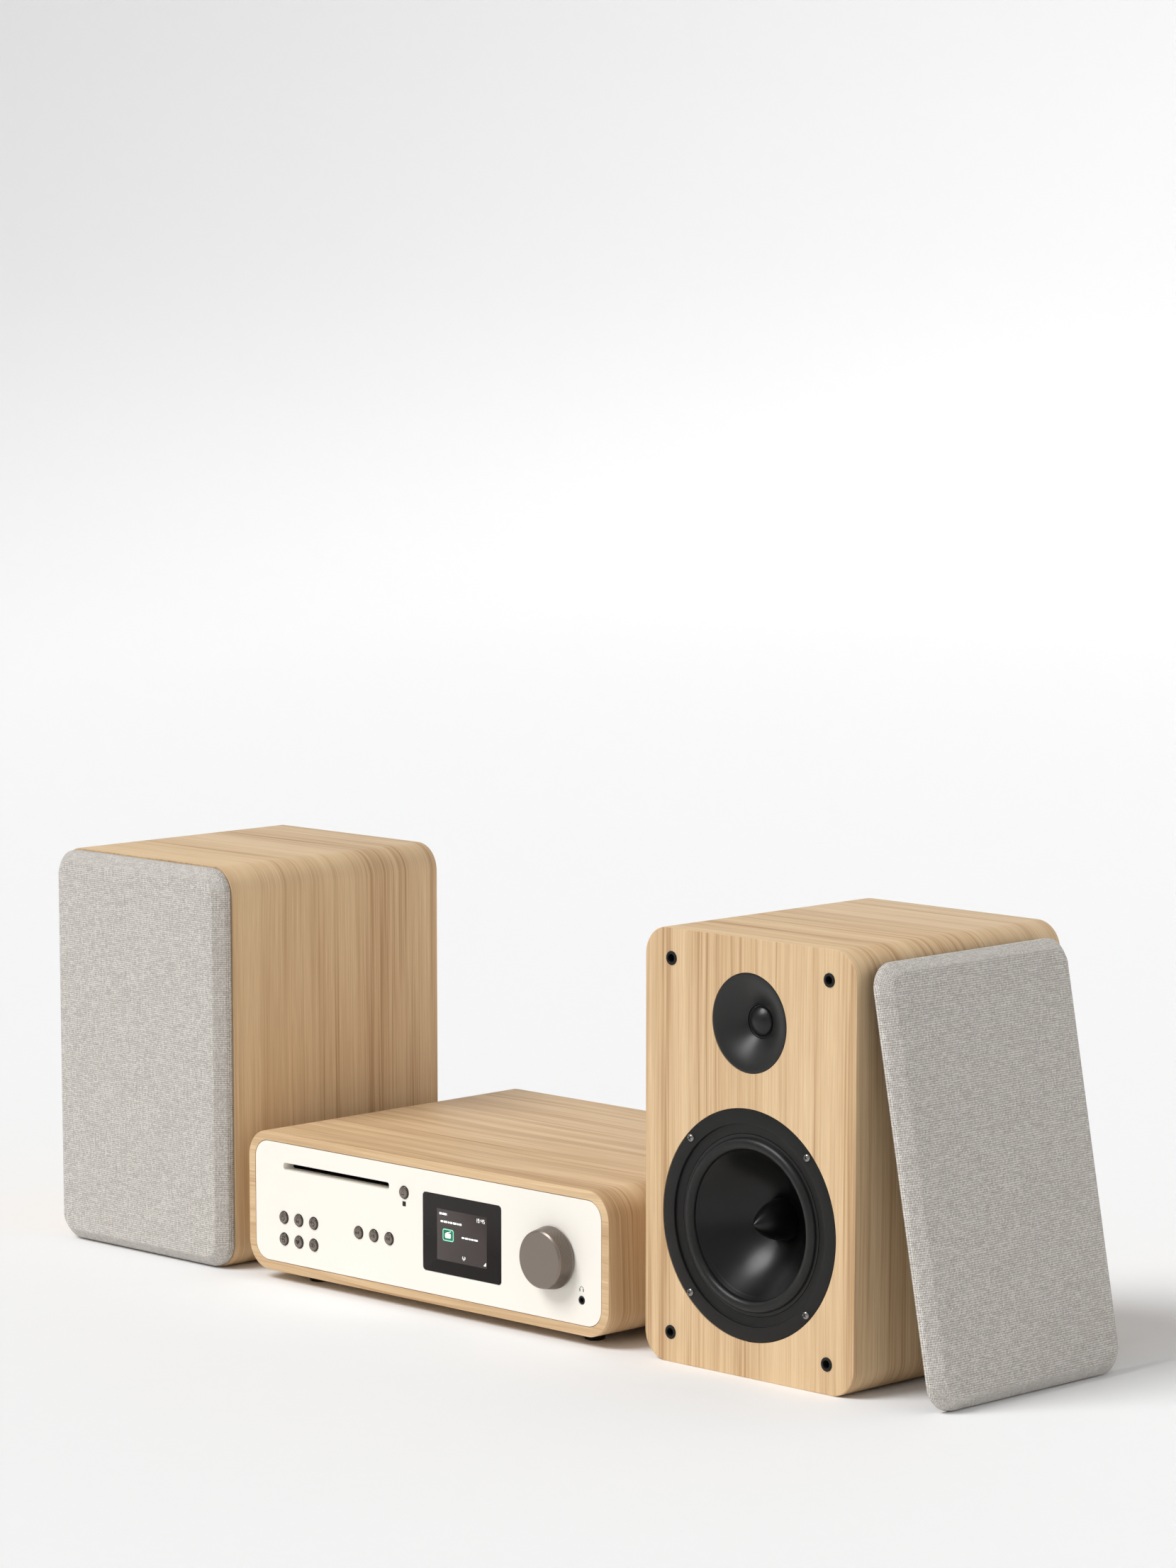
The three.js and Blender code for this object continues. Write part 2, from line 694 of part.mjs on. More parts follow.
function feet() {
  const columns = { left: FOOT_LEFT_INSET, right: UNIT_W - FOOT_RIGHT_INSET };
  const rows = { front: FOOT_END_INSET, rear: UNIT_D - FOOT_END_INSET };
  return Object.entries(rows).flatMap(([row, y]) =>
    Object.entries(columns).map(([column, x]) => {
      const mesh = piece(`foot_${row}_${column}`, foot(), ...RUBBER);
      mesh.rotation.x = Math.PI / 2;
      mesh.position.set(x, y, -FOOT_H);
      return mesh;
    }),
  );
}

function mainUnit() {
  const unit = new THREE.Group();
  unit.add(
    piece("cabinet_sleeve", cabinetSleeve(), ...VENEER),
    piece("front_panel", frontPanel(), ...CREAM),
    piece("display_window", plate(windowOutline(0), 0, WINDOW_T), ...SMOKED_ACRYLIC),
    piece("display_module", displayModule(), ...BLACK_PLASTIC),
    piece("front_board", frontBoard(), ...CIRCUIT_BOARD),
    piece("headphone_socket", headphoneSocket(), ...BLACK_PLASTIC),
    piece("volume_shaft", volumeShaft(), ...ZINC),
    piece("disc_drive", discDrive(), ...ZINC),
    piece("disc_turntable", discTurntable(), ...BLACK_PLASTIC),
    piece("chassis", chassis(), ...BLACK_STEEL),
    piece("main_board", mainBoard(), ...CIRCUIT_BOARD),
    piece("power_supply", powerSupply(), ...CIRCUIT_BOARD),
    piece("mains_inlet", mainsInlet(), ...BLACK_PLASTIC),
    piece("aerial_socket", aerialSocket(), ...ZINC),
    piece("speaker_terminals", speakerTerminals(), ...BLACK_PLASTIC),
    ...feet(),
  );
  const knob = piece("volume_knob", volumeKnob(), ...TAUPE_METAL);
  knob.position.set(knobX, 0, KNOB_Z);
  unit.add(knob);
  for (const [name, x, z] of buttons) {
    const button = piece(name, buttonBody(), ...TAUPE_METAL);
    button.position.set(x, 0, z);
    unit.add(button);
  }
  unit.position.z = FOOT_H;
  return unit;
}

// ---------------------------------------------------------------- speakers

const speakerX = SPEAKER_W / 2;
const socketPlaces = {
  upper_left: [SOCKET_INSET_X, SPEAKER_H - SOCKET_INSET_Z],
  upper_right: [SPEAKER_W - SOCKET_INSET_X, SPEAKER_H - SOCKET_INSET_Z],
  lower_left: [SOCKET_INSET_X, SOCKET_INSET_Z],
  lower_right: [SPEAKER_W - SOCKET_INSET_X, SOCKET_INSET_Z],
};

function speakerOutline(inset) {
  const w = SPEAKER_W - 2 * inset;
  const h = SPEAKER_H - 2 * inset;
  return roundedRect(inset, inset, w, h, SPEAKER_CORNER_R - inset);
}

function cupOutline(margin) {
  const w = CUP_W - 2 * CUP_FLANGE + 2 * margin;
  const h = CUP_H - 2 * CUP_FLANGE + 2 * margin;
  return roundedRect(speakerX - w / 2, CUP_Z - h / 2, w, h, CUP_CORNER_R, SMALL_CORNER_FACETS);
}

// Four walls and the back, open at the front where the baffle closes it.
function speakerCabinet() {
  const start = BAFFLE_T + GAP;
  const depth = SPEAKER_D - start;
  return cut(plate(speakerOutline(0), start, depth), [
    plate(speakerOutline(SPEAKER_WALL), start - REACH, depth - SPEAKER_WALL + REACH),
    plate(cupOutline(GAP), SPEAKER_D - SPEAKER_WALL - REACH, SPEAKER_WALL + 2 * REACH),
  ]);
}

function baffle() {
  const through = BAFFLE_T + 2 * REACH;
  const seat = (z, r, depth) => rod(speakerX, z, r + PANEL_GAP, -REACH, depth + REACH, DRIVER_FACETS);
  const hole = (z, r) => rod(speakerX, z, r + DRIVER_HOLE_GAP, -REACH, through, DRIVER_FACETS);
  return cut(plate(speakerOutline(0), 0, BAFFLE_T), [
    seat(WOOFER_Z, WOOFER_R, FLANGE_T + GAP),
    hole(WOOFER_Z, BASKET_R),
    seat(TWEETER_Z, TWEETER_R, TWEETER_FLANGE_T + GAP),
    hole(TWEETER_Z, TWEETER_BODY_R),
    ...Object.values(socketPlaces).map(([x, z]) => rod(x, z, SOCKET_R + GAP, -REACH, through)),
  ]);
}

// Stepped flange, cone-shaped basket and magnet in one, with its four screw heads. A ring-shaped
// slot in the magnet takes the voice coil.
function wooferFrame() {
  const poleTop = CONE_NECK_DEPTH + GAP;
  const slotInner = CONE_NECK_R - COIL_FORMER_T - COIL_SLOT_GAP;
  const slotOuter = CONE_NECK_R + COIL_SLOT_GAP;
  const plateTop = poleTop + TOP_PLATE_STEP;
  const slotEnd = poleTop + COIL_SLOT_DEPTH;
  const magnetBack = slotEnd + MAGNET_BACK_T;
  const frame = turned(
    [
      [0, poleTop],
      [slotInner, poleTop],
      [slotInner, slotEnd],
      [slotOuter, slotEnd],
      [slotOuter, plateTop],
      [MAGNET_R - BASKET_SHOULDER, plateTop],
      [BASKET_MOUTH_R, BASKET_RIM_DEPTH],
      [BASKET_MOUTH_R, SEAT_DEPTH],
      [SEAT_R, SEAT_DEPTH],
      [SEAT_R, STEP_DEPTH],
      [STEP_R, STEP_DEPTH],
      [STEP_R, 0],
      [WOOFER_R, 0],
      [WOOFER_R, FLANGE_T],
      [BASKET_R, FLANGE_T],
      [BASKET_MOUTH_R + BASKET_WALL, BASKET_RIM_DEPTH + BASKET_WALL],
      [MAGNET_R, plateTop + BASKET_WALL],
      [MAGNET_R, magnetBack],
      [0, magnetBack],
    ],
    DRIVER_FACETS,
  );
  const heads = [45, 135, 225, 315].map((degrees) => {
    const angle = THREE.MathUtils.degToRad(degrees);
    const x = SCREW_PITCH_R * Math.cos(angle);
    const z = SCREW_PITCH_R * Math.sin(angle);
    return rod(x, z, SCREW_R, -SCREW_HEAD_T, SCREW_HEAD_T + WELD);
  });
  return joined([frame, ...heads]);
}

// A rubber half roll between two flat lips.
function wooferSurround() {
  const lipBack = SEAT_DEPTH - GAP;
  const lipFront = lipBack - LIP_T;
  const middle = (ROLL_OUTER_R + ROLL_INNER_R) / 2;
  const outer = (ROLL_OUTER_R - ROLL_INNER_R) / 2 + ROLL_T / 2;
  const steps = 4;
  return turned(
    [
      [LIP_OUTER_R, lipBack],
      ...arc(middle, lipBack, outer - ROLL_T, 0, -180, steps),
      [LIP_INNER_R, lipBack],
      [LIP_INNER_R, lipFront],
      ...arc(middle, lipFront, outer, -180, 0, steps),
      [LIP_OUTER_R, lipFront],
    ],
    DRIVER_FACETS,
  );
}

// A flared cone down to its neck, which goes on as the voice coil's former.
function wooferCone() {
  const rim = SEAT_DEPTH;
  const steps = 3;
  const depth = CONE_NECK_DEPTH - rim;
  const face = Array.from({ length: steps + 1 }, (_, i) => {
    const t = i / steps;
    const r = CONE_R + (CONE_NECK_R - COIL_FORMER_T - CONE_R) * t;
    return [r, rim + depth * t + CONE_FLARE * Math.sin(Math.PI * t)];
  });
  const back = face.map(([r, y]) => [r + COIL_FORMER_T, y + CONE_T]).reverse();
  const end = CONE_NECK_DEPTH + COIL_FORMER_L;
  return turned(
    [...face, [CONE_NECK_R - COIL_FORMER_T, end], [CONE_NECK_R, end], ...back],
    DRIVER_FACETS,
  );
}

// A pointed bullet fixed to the magnet's pole, inside the cone's neck.
function phasePlug() {
  const steps = 5;
  const base = CONE_NECK_DEPTH;
  const side = Array.from({ length: steps + 1 }, (_, i) => {
    const t = i / steps;
    const r = (PLUG_R - RUNNING_GAP) * Math.sin((Math.PI / 2) * t) ** PLUG_POINT;
    return [r, PLUG_TIP_DEPTH + (base - PLUG_TIP_DEPTH) * t];
  });
  return turned([...side, [0, base]], DOME_FACETS);
}

// A dished horn on a flange, with the tweeter's magnet behind it and a round pit for the dome.
function tweeterHorn() {
  const steps = 4;
  const mouth = TWEETER_R - TWEETER_RIM;
  const dish = Array.from({ length: steps + 1 }, (_, i) => {
    const t = i / steps;
    return [THROAT_R + (mouth - THROAT_R) * t, THROAT_Y * (1 - t) ** HORN_FLARE];
  });
  const pit = THROAT_Y + DOME_SKIRT + DOME_PIT;
  return turned(
    [
      [0, pit],
      [THROAT_R, pit],
      ...dish,
      [TWEETER_R, 0],
      [TWEETER_R, TWEETER_FLANGE_T],
      [TWEETER_BODY_R, TWEETER_FLANGE_T],
      [TWEETER_BODY_R, TWEETER_BODY_DEPTH],
      [TWEETER_MAGNET_R, TWEETER_BODY_DEPTH],
      [TWEETER_MAGNET_R, TWEETER_MAGNET_DEPTH],
      [0, TWEETER_MAGNET_DEPTH],
    ],
    DRIVER_FACETS,
  );
}

// A shallow silk dome with a flat skirt, free to move in the horn's pit.
function tweeterDome() {
  const radius = (DOME_R ** 2 + DOME_RISE ** 2) / (2 * DOME_RISE);
  const spread = THREE.MathUtils.radToDeg(Math.asin(DOME_R / radius));
  const skirtR = THROAT_R - RUNNING_GAP;
  const skirtY = THROAT_Y + RUNNING_GAP;
  const steps = 3;
  return turned(
    [
      ...arc(0, skirtY - DOME_RISE + radius, radius, -90, -90 + spread, steps),
      [skirtR, skirtY],
      [skirtR, skirtY + DOME_SKIRT],
      [0, skirtY + DOME_SKIRT],
    ],
    DOME_FACETS,
  );
}

// A recessed cup with two screw terminals, and the crossover fixed behind it.
function terminalCup() {
  const face = SPEAKER_D + GAP;
  const floor = face - CUP_DEPTH;
  const inside = floor - CUP_WALL;
  const flange = plate(cupOutline(CUP_FLANGE), face, CUP_FLANGE_T);
  const body = plate(cupOutline(0), inside, CUP_DEPTH + CUP_WALL + WELD);
  const recess = plate(cupOutline(-CUP_WALL), floor, CUP_DEPTH + CUP_FLANGE_T + REACH);
  const posts = [-0.5, 0.5].flatMap((side) =>
    bindingPost(speakerX + side * CUP_POST_PITCH, CUP_Z, floor, WELD),
  );
  const crossoverX = speakerX - CROSSOVER_W / 2;
  const crossoverZ = CUP_Z - CROSSOVER_H / 2;
  const crossoverDepth = CROSSOVER_T + WELD;
  const crossover = block(
    crossoverX,
    inside - CROSSOVER_T,
    crossoverZ,
    CROSSOVER_W,
    crossoverDepth,
    CROSSOVER_H,
  );
  return joined([cut(flange.add(body), [recess]), ...posts, crossover]);
}

function grilleSocket() {
  const bore = rod(0, 0, SOCKET_BORE_R, -REACH, SOCKET_BORE_DEPTH + REACH, SOCKET_FACETS);
  return cut(rod(0, 0, SOCKET_R, 0, SOCKET_DEPTH, SOCKET_FACETS), [bore]);
}

function speaker(side) {
  const group = new THREE.Group();
  group.add(
    piece(`${side}_speaker_cabinet`, speakerCabinet(), ...VENEER),
    piece(`${side}_baffle`, baffle(), ...VENEER),
    piece(`${side}_terminal_cup`, terminalCup(), ...BLACK_PLASTIC),
  );
  const driverPieces = [
    ["woofer_frame", wooferFrame(), DRIVER_BLACK, WOOFER_Z],
    ["woofer_surround", wooferSurround(), RUBBER, WOOFER_Z],
    ["woofer_cone", wooferCone(), CONE_BLACK, WOOFER_Z],
    ["phase_plug", phasePlug(), CONE_BLACK, WOOFER_Z],
    ["tweeter_horn", tweeterHorn(), DRIVER_BLACK, TWEETER_Z],
    ["tweeter_dome", tweeterDome(), SILK, TWEETER_Z],
  ];
  for (const [name, body, finish, z] of driverPieces) {
    const mesh = piece(`${side}_${name}`, body, ...finish);
    mesh.position.set(speakerX, 0, z);
    group.add(mesh);
  }
  for (const [place, [x, z]] of Object.entries(socketPlaces)) {
    const mesh = piece(`${side}_socket_${place}`, grilleSocket(), ...BLACK_PLASTIC);
    mesh.position.set(x, 0, z);
    group.add(mesh);
  }
  return group;
}

// ---------------------------------------------------------------- grilles

// The chamfered shape of a grille, less a skin all over its face and sides. Its back lies in the
// plane y = 0 and its face at y = -GRILLE_T, over the same x and z as the speaker it belongs to.
function grilleSlab(skin) {
  const shape = new THREE.Shape(speakerOutline(GRILLE_INSET + skin));
  // Deep enough that the second chamfer, on the back, is all cut away.
  const depth = 2 * GRILLE_T;
  const geometry = new THREE.ExtrudeGeometry(shape, {
    depth,
    bevelEnabled: true,
    bevelSegments: 1,
    bevelThickness: GRILLE_CHAMFER_DEPTH,
    bevelSize: GRILLE_CHAMFER_W,
    bevelOffset: -GRILLE_CHAMFER_W,
  });
  const start = skin - GRILLE_T + GRILLE_CHAMFER_DEPTH;
  const whole = solid(geometry.rotateX(Math.PI / 2).translate(0, start + depth, 0));
  return cut(whole, [block(0, 0, 0, SPEAKER_W, 2 * depth, SPEAKER_H)]);
}

// An open board with round gussets, and a peg for each socket.
function grilleFrame() {
  const slab = grilleSlab(CLOTH_T + GAP);
  const inset = GRILLE_INSET + GRILLE_RAIL;
  const w = SPEAKER_W - 2 * inset;
  const h = SPEAKER_H - 2 * inset;
  const outline = roundedRect(inset, inset, w, h, GRILLE_OPENING_R);
  const opening = plate(outline, -GRILLE_T - REACH, GRILLE_T + 2 * REACH);
  const pegR = SOCKET_BORE_R - RUNNING_GAP;
  const pegs = Object.values(socketPlaces).map(([x, z]) =>
    rod(x, z, pegR, -WELD, PEG_L + WELD, THIN_FACETS),
  );
  return joined([cut(slab, [opening]), ...pegs]);
}

// Cloth stretched over the frame's face, bevel and sides.
function grilleCloth() {
  return grilleSlab(0).subtract(grilleSlab(CLOTH_T));
}

function grille(side) {
  const group = new THREE.Group();
  group.add(
    piece(`${side}_grille_frame`, grilleFrame(), ...BLACK_PLASTIC),
    piece(`${side}_grille_cloth`, grilleCloth(), ...CLOTH),
  );
  return group;
}

// The angle from upright at which the upper pegs' tips rest against the speaker's side.
function leanAngle() {
  const up = SPEAKER_H - SOCKET_INSET_Z - GRILLE_INSET + SOCKET_BORE_R - RUNNING_GAP;
  return Math.asin((LEAN_FOOT - GAP) / Math.hypot(up, PEG_L)) - Math.atan2(PEG_L, up);
}

// Stands the grille on its back lower edge, turned to face +X and tipped back by the lean.
function leaning(side) {
  const turn = new THREE.Group();
  const upright = grille(side);
  upright.position.set(-GRILLE_INSET, 0, -GRILLE_INSET);
  turn.add(upright);
  turn.rotation.set(-leanAngle(), 0, Math.PI / 2, "ZYX");
  return turn;
}

// ---------------------------------------------------------------- the whole set

const hifi = new THREE.Group();
hifi.add(mainUnit());

const leftSpeaker = speaker("left");
leftSpeaker.position.set(-LEFT_SPEAKER_GAP - SPEAKER_W, LEFT_SPEAKER_SETBACK, 0);
const leftGrille = grille("left");
leftGrille.position.y = -GRILLE_OFFSET;
leftSpeaker.add(leftGrille);

const rightSpeaker = speaker("right");
rightSpeaker.position.set(UNIT_W + RIGHT_SPEAKER_GAP, RIGHT_SPEAKER_SETBACK, 0);
const rightGrille = leaning("right");
rightGrille.position.set(SPEAKER_W + LEAN_FOOT, LEAN_SETBACK, 0);
rightSpeaker.add(rightGrille);

hifi.add(leftSpeaker, rightSpeaker);

// The frame's origin is the middle of the set's footprint, on the surface that it stands on.
const bounds = new THREE.Box3().setFromObject(hifi, true);
const middle = bounds.getCenter(new THREE.Vector3());
hifi.position.set(-middle.x, -middle.y, -bounds.min.z);

export default hifi;
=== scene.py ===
"""Mini hifi system: the finished looks of a veneered amplifier and disc player and its two
bookshelf speakers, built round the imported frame. Metres, +Z up, the fronts face -Y."""

from math import asin, atan2, cos, hypot, pi, radians, sin, sqrt

import bmesh
import bpy
from bpy.props import FloatProperty, FloatVectorProperty, PointerProperty
from bpy.types import Operator, Panel, PropertyGroup
from mathutils import Matrix, Vector
from mathutils.geometry import tessellate_polygon


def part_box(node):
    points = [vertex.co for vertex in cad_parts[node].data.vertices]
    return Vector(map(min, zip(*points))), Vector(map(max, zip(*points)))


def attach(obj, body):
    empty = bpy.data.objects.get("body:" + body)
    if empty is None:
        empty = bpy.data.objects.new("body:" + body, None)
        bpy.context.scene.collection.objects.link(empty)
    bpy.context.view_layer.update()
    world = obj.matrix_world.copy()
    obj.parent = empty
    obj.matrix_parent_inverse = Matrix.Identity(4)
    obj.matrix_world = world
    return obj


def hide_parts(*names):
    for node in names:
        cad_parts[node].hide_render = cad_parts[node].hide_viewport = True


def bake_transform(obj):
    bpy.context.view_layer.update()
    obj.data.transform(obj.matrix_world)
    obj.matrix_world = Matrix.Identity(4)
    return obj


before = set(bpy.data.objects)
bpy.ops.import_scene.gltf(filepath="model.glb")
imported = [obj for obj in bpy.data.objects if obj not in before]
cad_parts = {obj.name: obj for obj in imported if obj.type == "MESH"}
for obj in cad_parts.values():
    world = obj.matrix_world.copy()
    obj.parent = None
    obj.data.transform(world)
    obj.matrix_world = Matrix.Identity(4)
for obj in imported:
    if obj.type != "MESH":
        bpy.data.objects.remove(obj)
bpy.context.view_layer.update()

bl_info = {
    "name": "Mini hifi system",
    "version": (1, 0, 0),
    "blender": (4, 5, 0),
    "location": "View3D > Sidebar > Hifi",
    "description": "Builds a veneered mini hifi system and its speakers round a packed frame",
    "category": "Object",
}

MM = 0.001
CORNER_STEPS = 14
SIDES = ("left", "right")
SLEEVE_LOW, SLEEVE_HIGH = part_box("cabinet_sleeve")


def paint(red, green, blue):
    """A colour picked on a screen, 0 to 255 a channel, as the linear colour that shaders take."""
    shares = [channel / 255 for channel in (red, green, blue)]
    return tuple(s / 12.92 if s <= 0.04045 else ((s + 0.055) / 1.055) ** 2.4 for s in shares)


# ------------------------------------------------------------------ settings


def length(name, description, default):
    return FloatProperty(
        name=name, description=description, default=default, min=0.0, unit="LENGTH", precision=5
    )


def colour(name, description, default):
    return FloatVectorProperty(
        name=name, description=description, default=default, size=3, min=0.0, max=1.0, subtype="COLOR"
    )


class HifiFinishes(PropertyGroup):
    veneer_pale: colour("Veneer, pale", "Colour between the veneer's streaks", paint(233, 204, 163))
    veneer_mid: colour("Veneer, middle", "Colour of the veneer's broad bands", paint(217, 185, 144))
    veneer_dark: colour("Veneer, dark", "Colour of the veneer's fine dark streaks", paint(184, 147, 108))
    panel: colour("Front panel", "Cream of the front panel", paint(250, 245, 235))
    controls: colour("Controls", "Taupe of the knob and the buttons", paint(142, 131, 122))
    cloth_pale: colour("Cloth, pale", "Colour of the grille cloth's pale threads", paint(226, 221, 214))
    cloth_dark: colour("Cloth, dark", "Colour of the grille cloth's dark threads", paint(196, 190, 183))
    # Painted shade in the valleys and gaps between the cloth's threads.
    cloth_hollow: colour("Cloth, hollows", "Colour between the grille cloth's threads", paint(98, 92, 86))
    driver: colour("Drivers", "Near-black of the drivers' frames and horns", paint(26, 25, 24))


class HifiSizes(PropertyGroup):
    case_radius: length("Case corner", "Radius of the main unit's long corners", 23 * MM)
    case_wall: length("Case wall", "Thickness of the main unit's sleeve", 7.7 * MM)
    speaker_radius: length("Speaker corner", "Radius of a speaker's long corners", 22.2 * MM)
    panel_gap: length("Panel gap", "Gap between the front panel and the sleeve", 0.5 * MM)
    slot_width: length("Slot width", "Width of the disc slot", 125.6 * MM)
    slot_height: length("Slot height", "Height of the disc slot", 5.8 * MM)
    slot_rise: length("Slot rise", "Height of the slot's middle above the sleeve's underside", 88.2 * MM)
    thread: length("Thread pitch", "Distance between two threads of the grille cloth", 1.7 * MM)


class HifiStage(PropertyGroup):
    camera_place: FloatVectorProperty(
        name="Camera place", description="Where the camera stands", default=(2.9876, -2.9929, 0.8883),
        subtype="XYZ", unit="LENGTH",
    )
    camera_turn: FloatProperty(
        name="Camera turn", description="How far the camera is turned to the left",
        default=radians(44.96), subtype="ANGLE",
    )
    camera_tilt: FloatProperty(
        name="Camera tilt", description="How far the camera looks down", default=radians(9.49),
        subtype="ANGLE",
    )
    camera_lens: FloatProperty(name="Lens", description="Focal length in millimetres", default=122.93)
    camera_rise: FloatProperty(
        name="Lens rise", description="Upward shift of the lens, as a share of the picture", default=0.184
    )
    key: FloatProperty(name="Key light", description="Strength of the front left light", default=2.15)
    fill: FloatProperty(name="Fill light", description="Strength of the low right light", default=0.24)
    sky: FloatProperty(name="Sky", description="Brightness of the white all round", default=0.38)


# ------------------------------------------------------------------ shader helpers


def add(tree, kind, inputs=None, **settings):
    """A node with its settings and inputs; an input is a value or another node's output."""
    node = tree.nodes.new(kind)
    for key, value in settings.items():
        setattr(node, key, value)
    for key, value in (inputs or {}).items():
        if isinstance(value, bpy.types.NodeSocket):
            tree.links.new(value, node.inputs[key])
        else:
            node.inputs[key].default_value = value
    return node


def add_group(tree, group, inputs):
    return add(tree, "ShaderNodeGroup", inputs, node_tree=group)


def calculate(tree, operation, *values):
    return add(tree, "ShaderNodeMath", dict(enumerate(values)), operation=operation).outputs[0]


def scaled(tree, vector, scale, offset=(0, 0, 0)):
    """A vector times scale plus offset."""
    return add(
        tree, "ShaderNodeVectorMath", {0: vector, 1: scale, 2: offset}, operation="MULTIPLY_ADD"
    ).outputs[0]


def noise(tree, vector, scale=1.0, detail=2.0, roughness=0.5):
    inputs = {"Vector": vector, "Scale": scale, "Detail": detail, "Roughness": roughness}
    return add(tree, "ShaderNodeTexNoise", inputs).outputs[0]


def remap(tree, value, low, high, to_low=0.0, to_high=1.0):
    """value from low..high to to_low..to_high, smoothly and held at the ends."""
    inputs = {"Value": value, "From Min": low, "From Max": high, "To Min": to_low, "To Max": to_high}
    return add(tree, "ShaderNodeMapRange", inputs, interpolation_type="SMOOTHSTEP").outputs[0]


def object_point(tree):
    """The place of a point in its own object's frame."""
    return tree.nodes.new("ShaderNodeTexCoord").outputs["Object"]


def from_axis(tree, place):
    """How far a place is from the object's own Y axis."""
    flat = scaled(tree, place, (1, 0, 1))
    return add(tree, "ShaderNodeVectorMath", {0: flat}, operation="LENGTH").outputs["Value"]


def blended(tree, share, first, second):
    """Two colours mixed by share; a colour is three numbers or an output."""
    node = add(tree, "ShaderNodeMix", {0: share}, data_type="RGBA")
    for socket, value in ((node.inputs[6], first), (node.inputs[7], second)):
        if isinstance(value, bpy.types.NodeSocket):
            tree.links.new(value, socket)
        else:
            socket.default_value = (*value[:3], 1)
    return node.outputs[2]


def new_group(name, inputs, outputs):
    """An empty node group with (name, kind, default) inputs and (name, kind) outputs."""
    group = bpy.data.node_groups.new(name, "ShaderNodeTree")
    for label, kind, default in inputs:
        socket = group.interface.new_socket(label, in_out="INPUT", socket_type="NodeSocket" + kind)
        if default is not None:
            socket.default_value = default
    for label, kind in outputs:
        group.interface.new_socket(label, in_out="OUTPUT", socket_type="NodeSocket" + kind)
    return group, group.nodes.new("NodeGroupInput").outputs, group.nodes.new("NodeGroupOutput").inputs


def surface_grain():
    """Broad unevenness and a fine grain over a moulded, painted or anodised surface."""
    found = bpy.data.node_groups.get("Surface grain")
    if found:
        return found
    group, given, out = new_group(
        "Surface grain",
        [("Patch size", "Float", 0.03), ("Grain size", "Float", 0.0006)],
        [("Patches", "Float"), ("Grain", "Float")],
    )
    place = object_point(group)
    patch_scale = calculate(group, "DIVIDE", 1.0, given["Patch size"])
    grain_scale = calculate(group, "DIVIDE", 1.0, given["Grain size"])
    group.links.new(remap(group, noise(group, place, patch_scale, 3), 0.3, 0.7), out["Patches"])
    group.links.new(noise(group, place, grain_scale, 2), out["Grain"])
    return group


def veneer_grain():
    """Streaks along U of a UV map in metres: bands of early and late wood, fine dark dashes, fibres
    and long soft swells of tone."""
    found = bpy.data.node_groups.get("Veneer grain")
    if found:
        return found
    group, given, out = new_group(
        "Veneer grain",
        [("Vector", "Vector", None), ("Waviness", "Float", 0.004)],
        [("Bands", "Float"), ("Streaks", "Float"), ("Fibres", "Float"), ("Swells", "Float")],
    )
    drift = noise(group, scaled(group, given["Vector"], (3.2, 7, 0)), 1, 1)
    shift = calculate(group, "MULTIPLY", calculate(group, "SUBTRACT", drift, 0.5), given["Waviness"])
    offset = add(group, "ShaderNodeCombineXYZ", {"Y": shift}).outputs[0]
    place = add(group, "ShaderNodeVectorMath", {0: given["Vector"], 1: offset}, operation="ADD").outputs[0]
    bands = None
    widths = ((1.0, 17, 0.26), (1.5, 60, 0.25), (3, 200, 0.22), (6, 620, 0.27))
    for along, across, weight in widths:
        layer = noise(group, scaled(group, place, (along, across, 0), (across / 7, along, 0)), 1, 1)
        if bands is None:
            bands = calculate(group, "MULTIPLY", layer, weight)
        else:
            bands = calculate(group, "MULTIPLY_ADD", layer, weight, bands)
    group.links.new(remap(group, bands, 0.335, 0.63), out["Bands"])
    dashes = noise(group, scaled(group, place, (5, 270, 0), (2, 8, 0)), 1, 2)
    zones = noise(group, scaled(group, place, (1.5, 30, 0), (5, 1, 0)), 1, 1)
    marked = calculate(group, "MULTIPLY", remap(group, dashes, 0.48, 0.74), remap(group, zones, 0.38, 0.68))
    group.links.new(marked, out["Streaks"])
    fibres = noise(group, scaled(group, place, (24, 1900, 0), (1, 4, 0)), 1, 2)
    group.links.new(fibres, out["Fibres"])
    swells = noise(group, scaled(group, place, (2.6, 78, 0), (9, 3, 0)), 1, 2)
    group.links.new(remap(group, swells, 0.42, 0.68), out["Swells"])
    return group


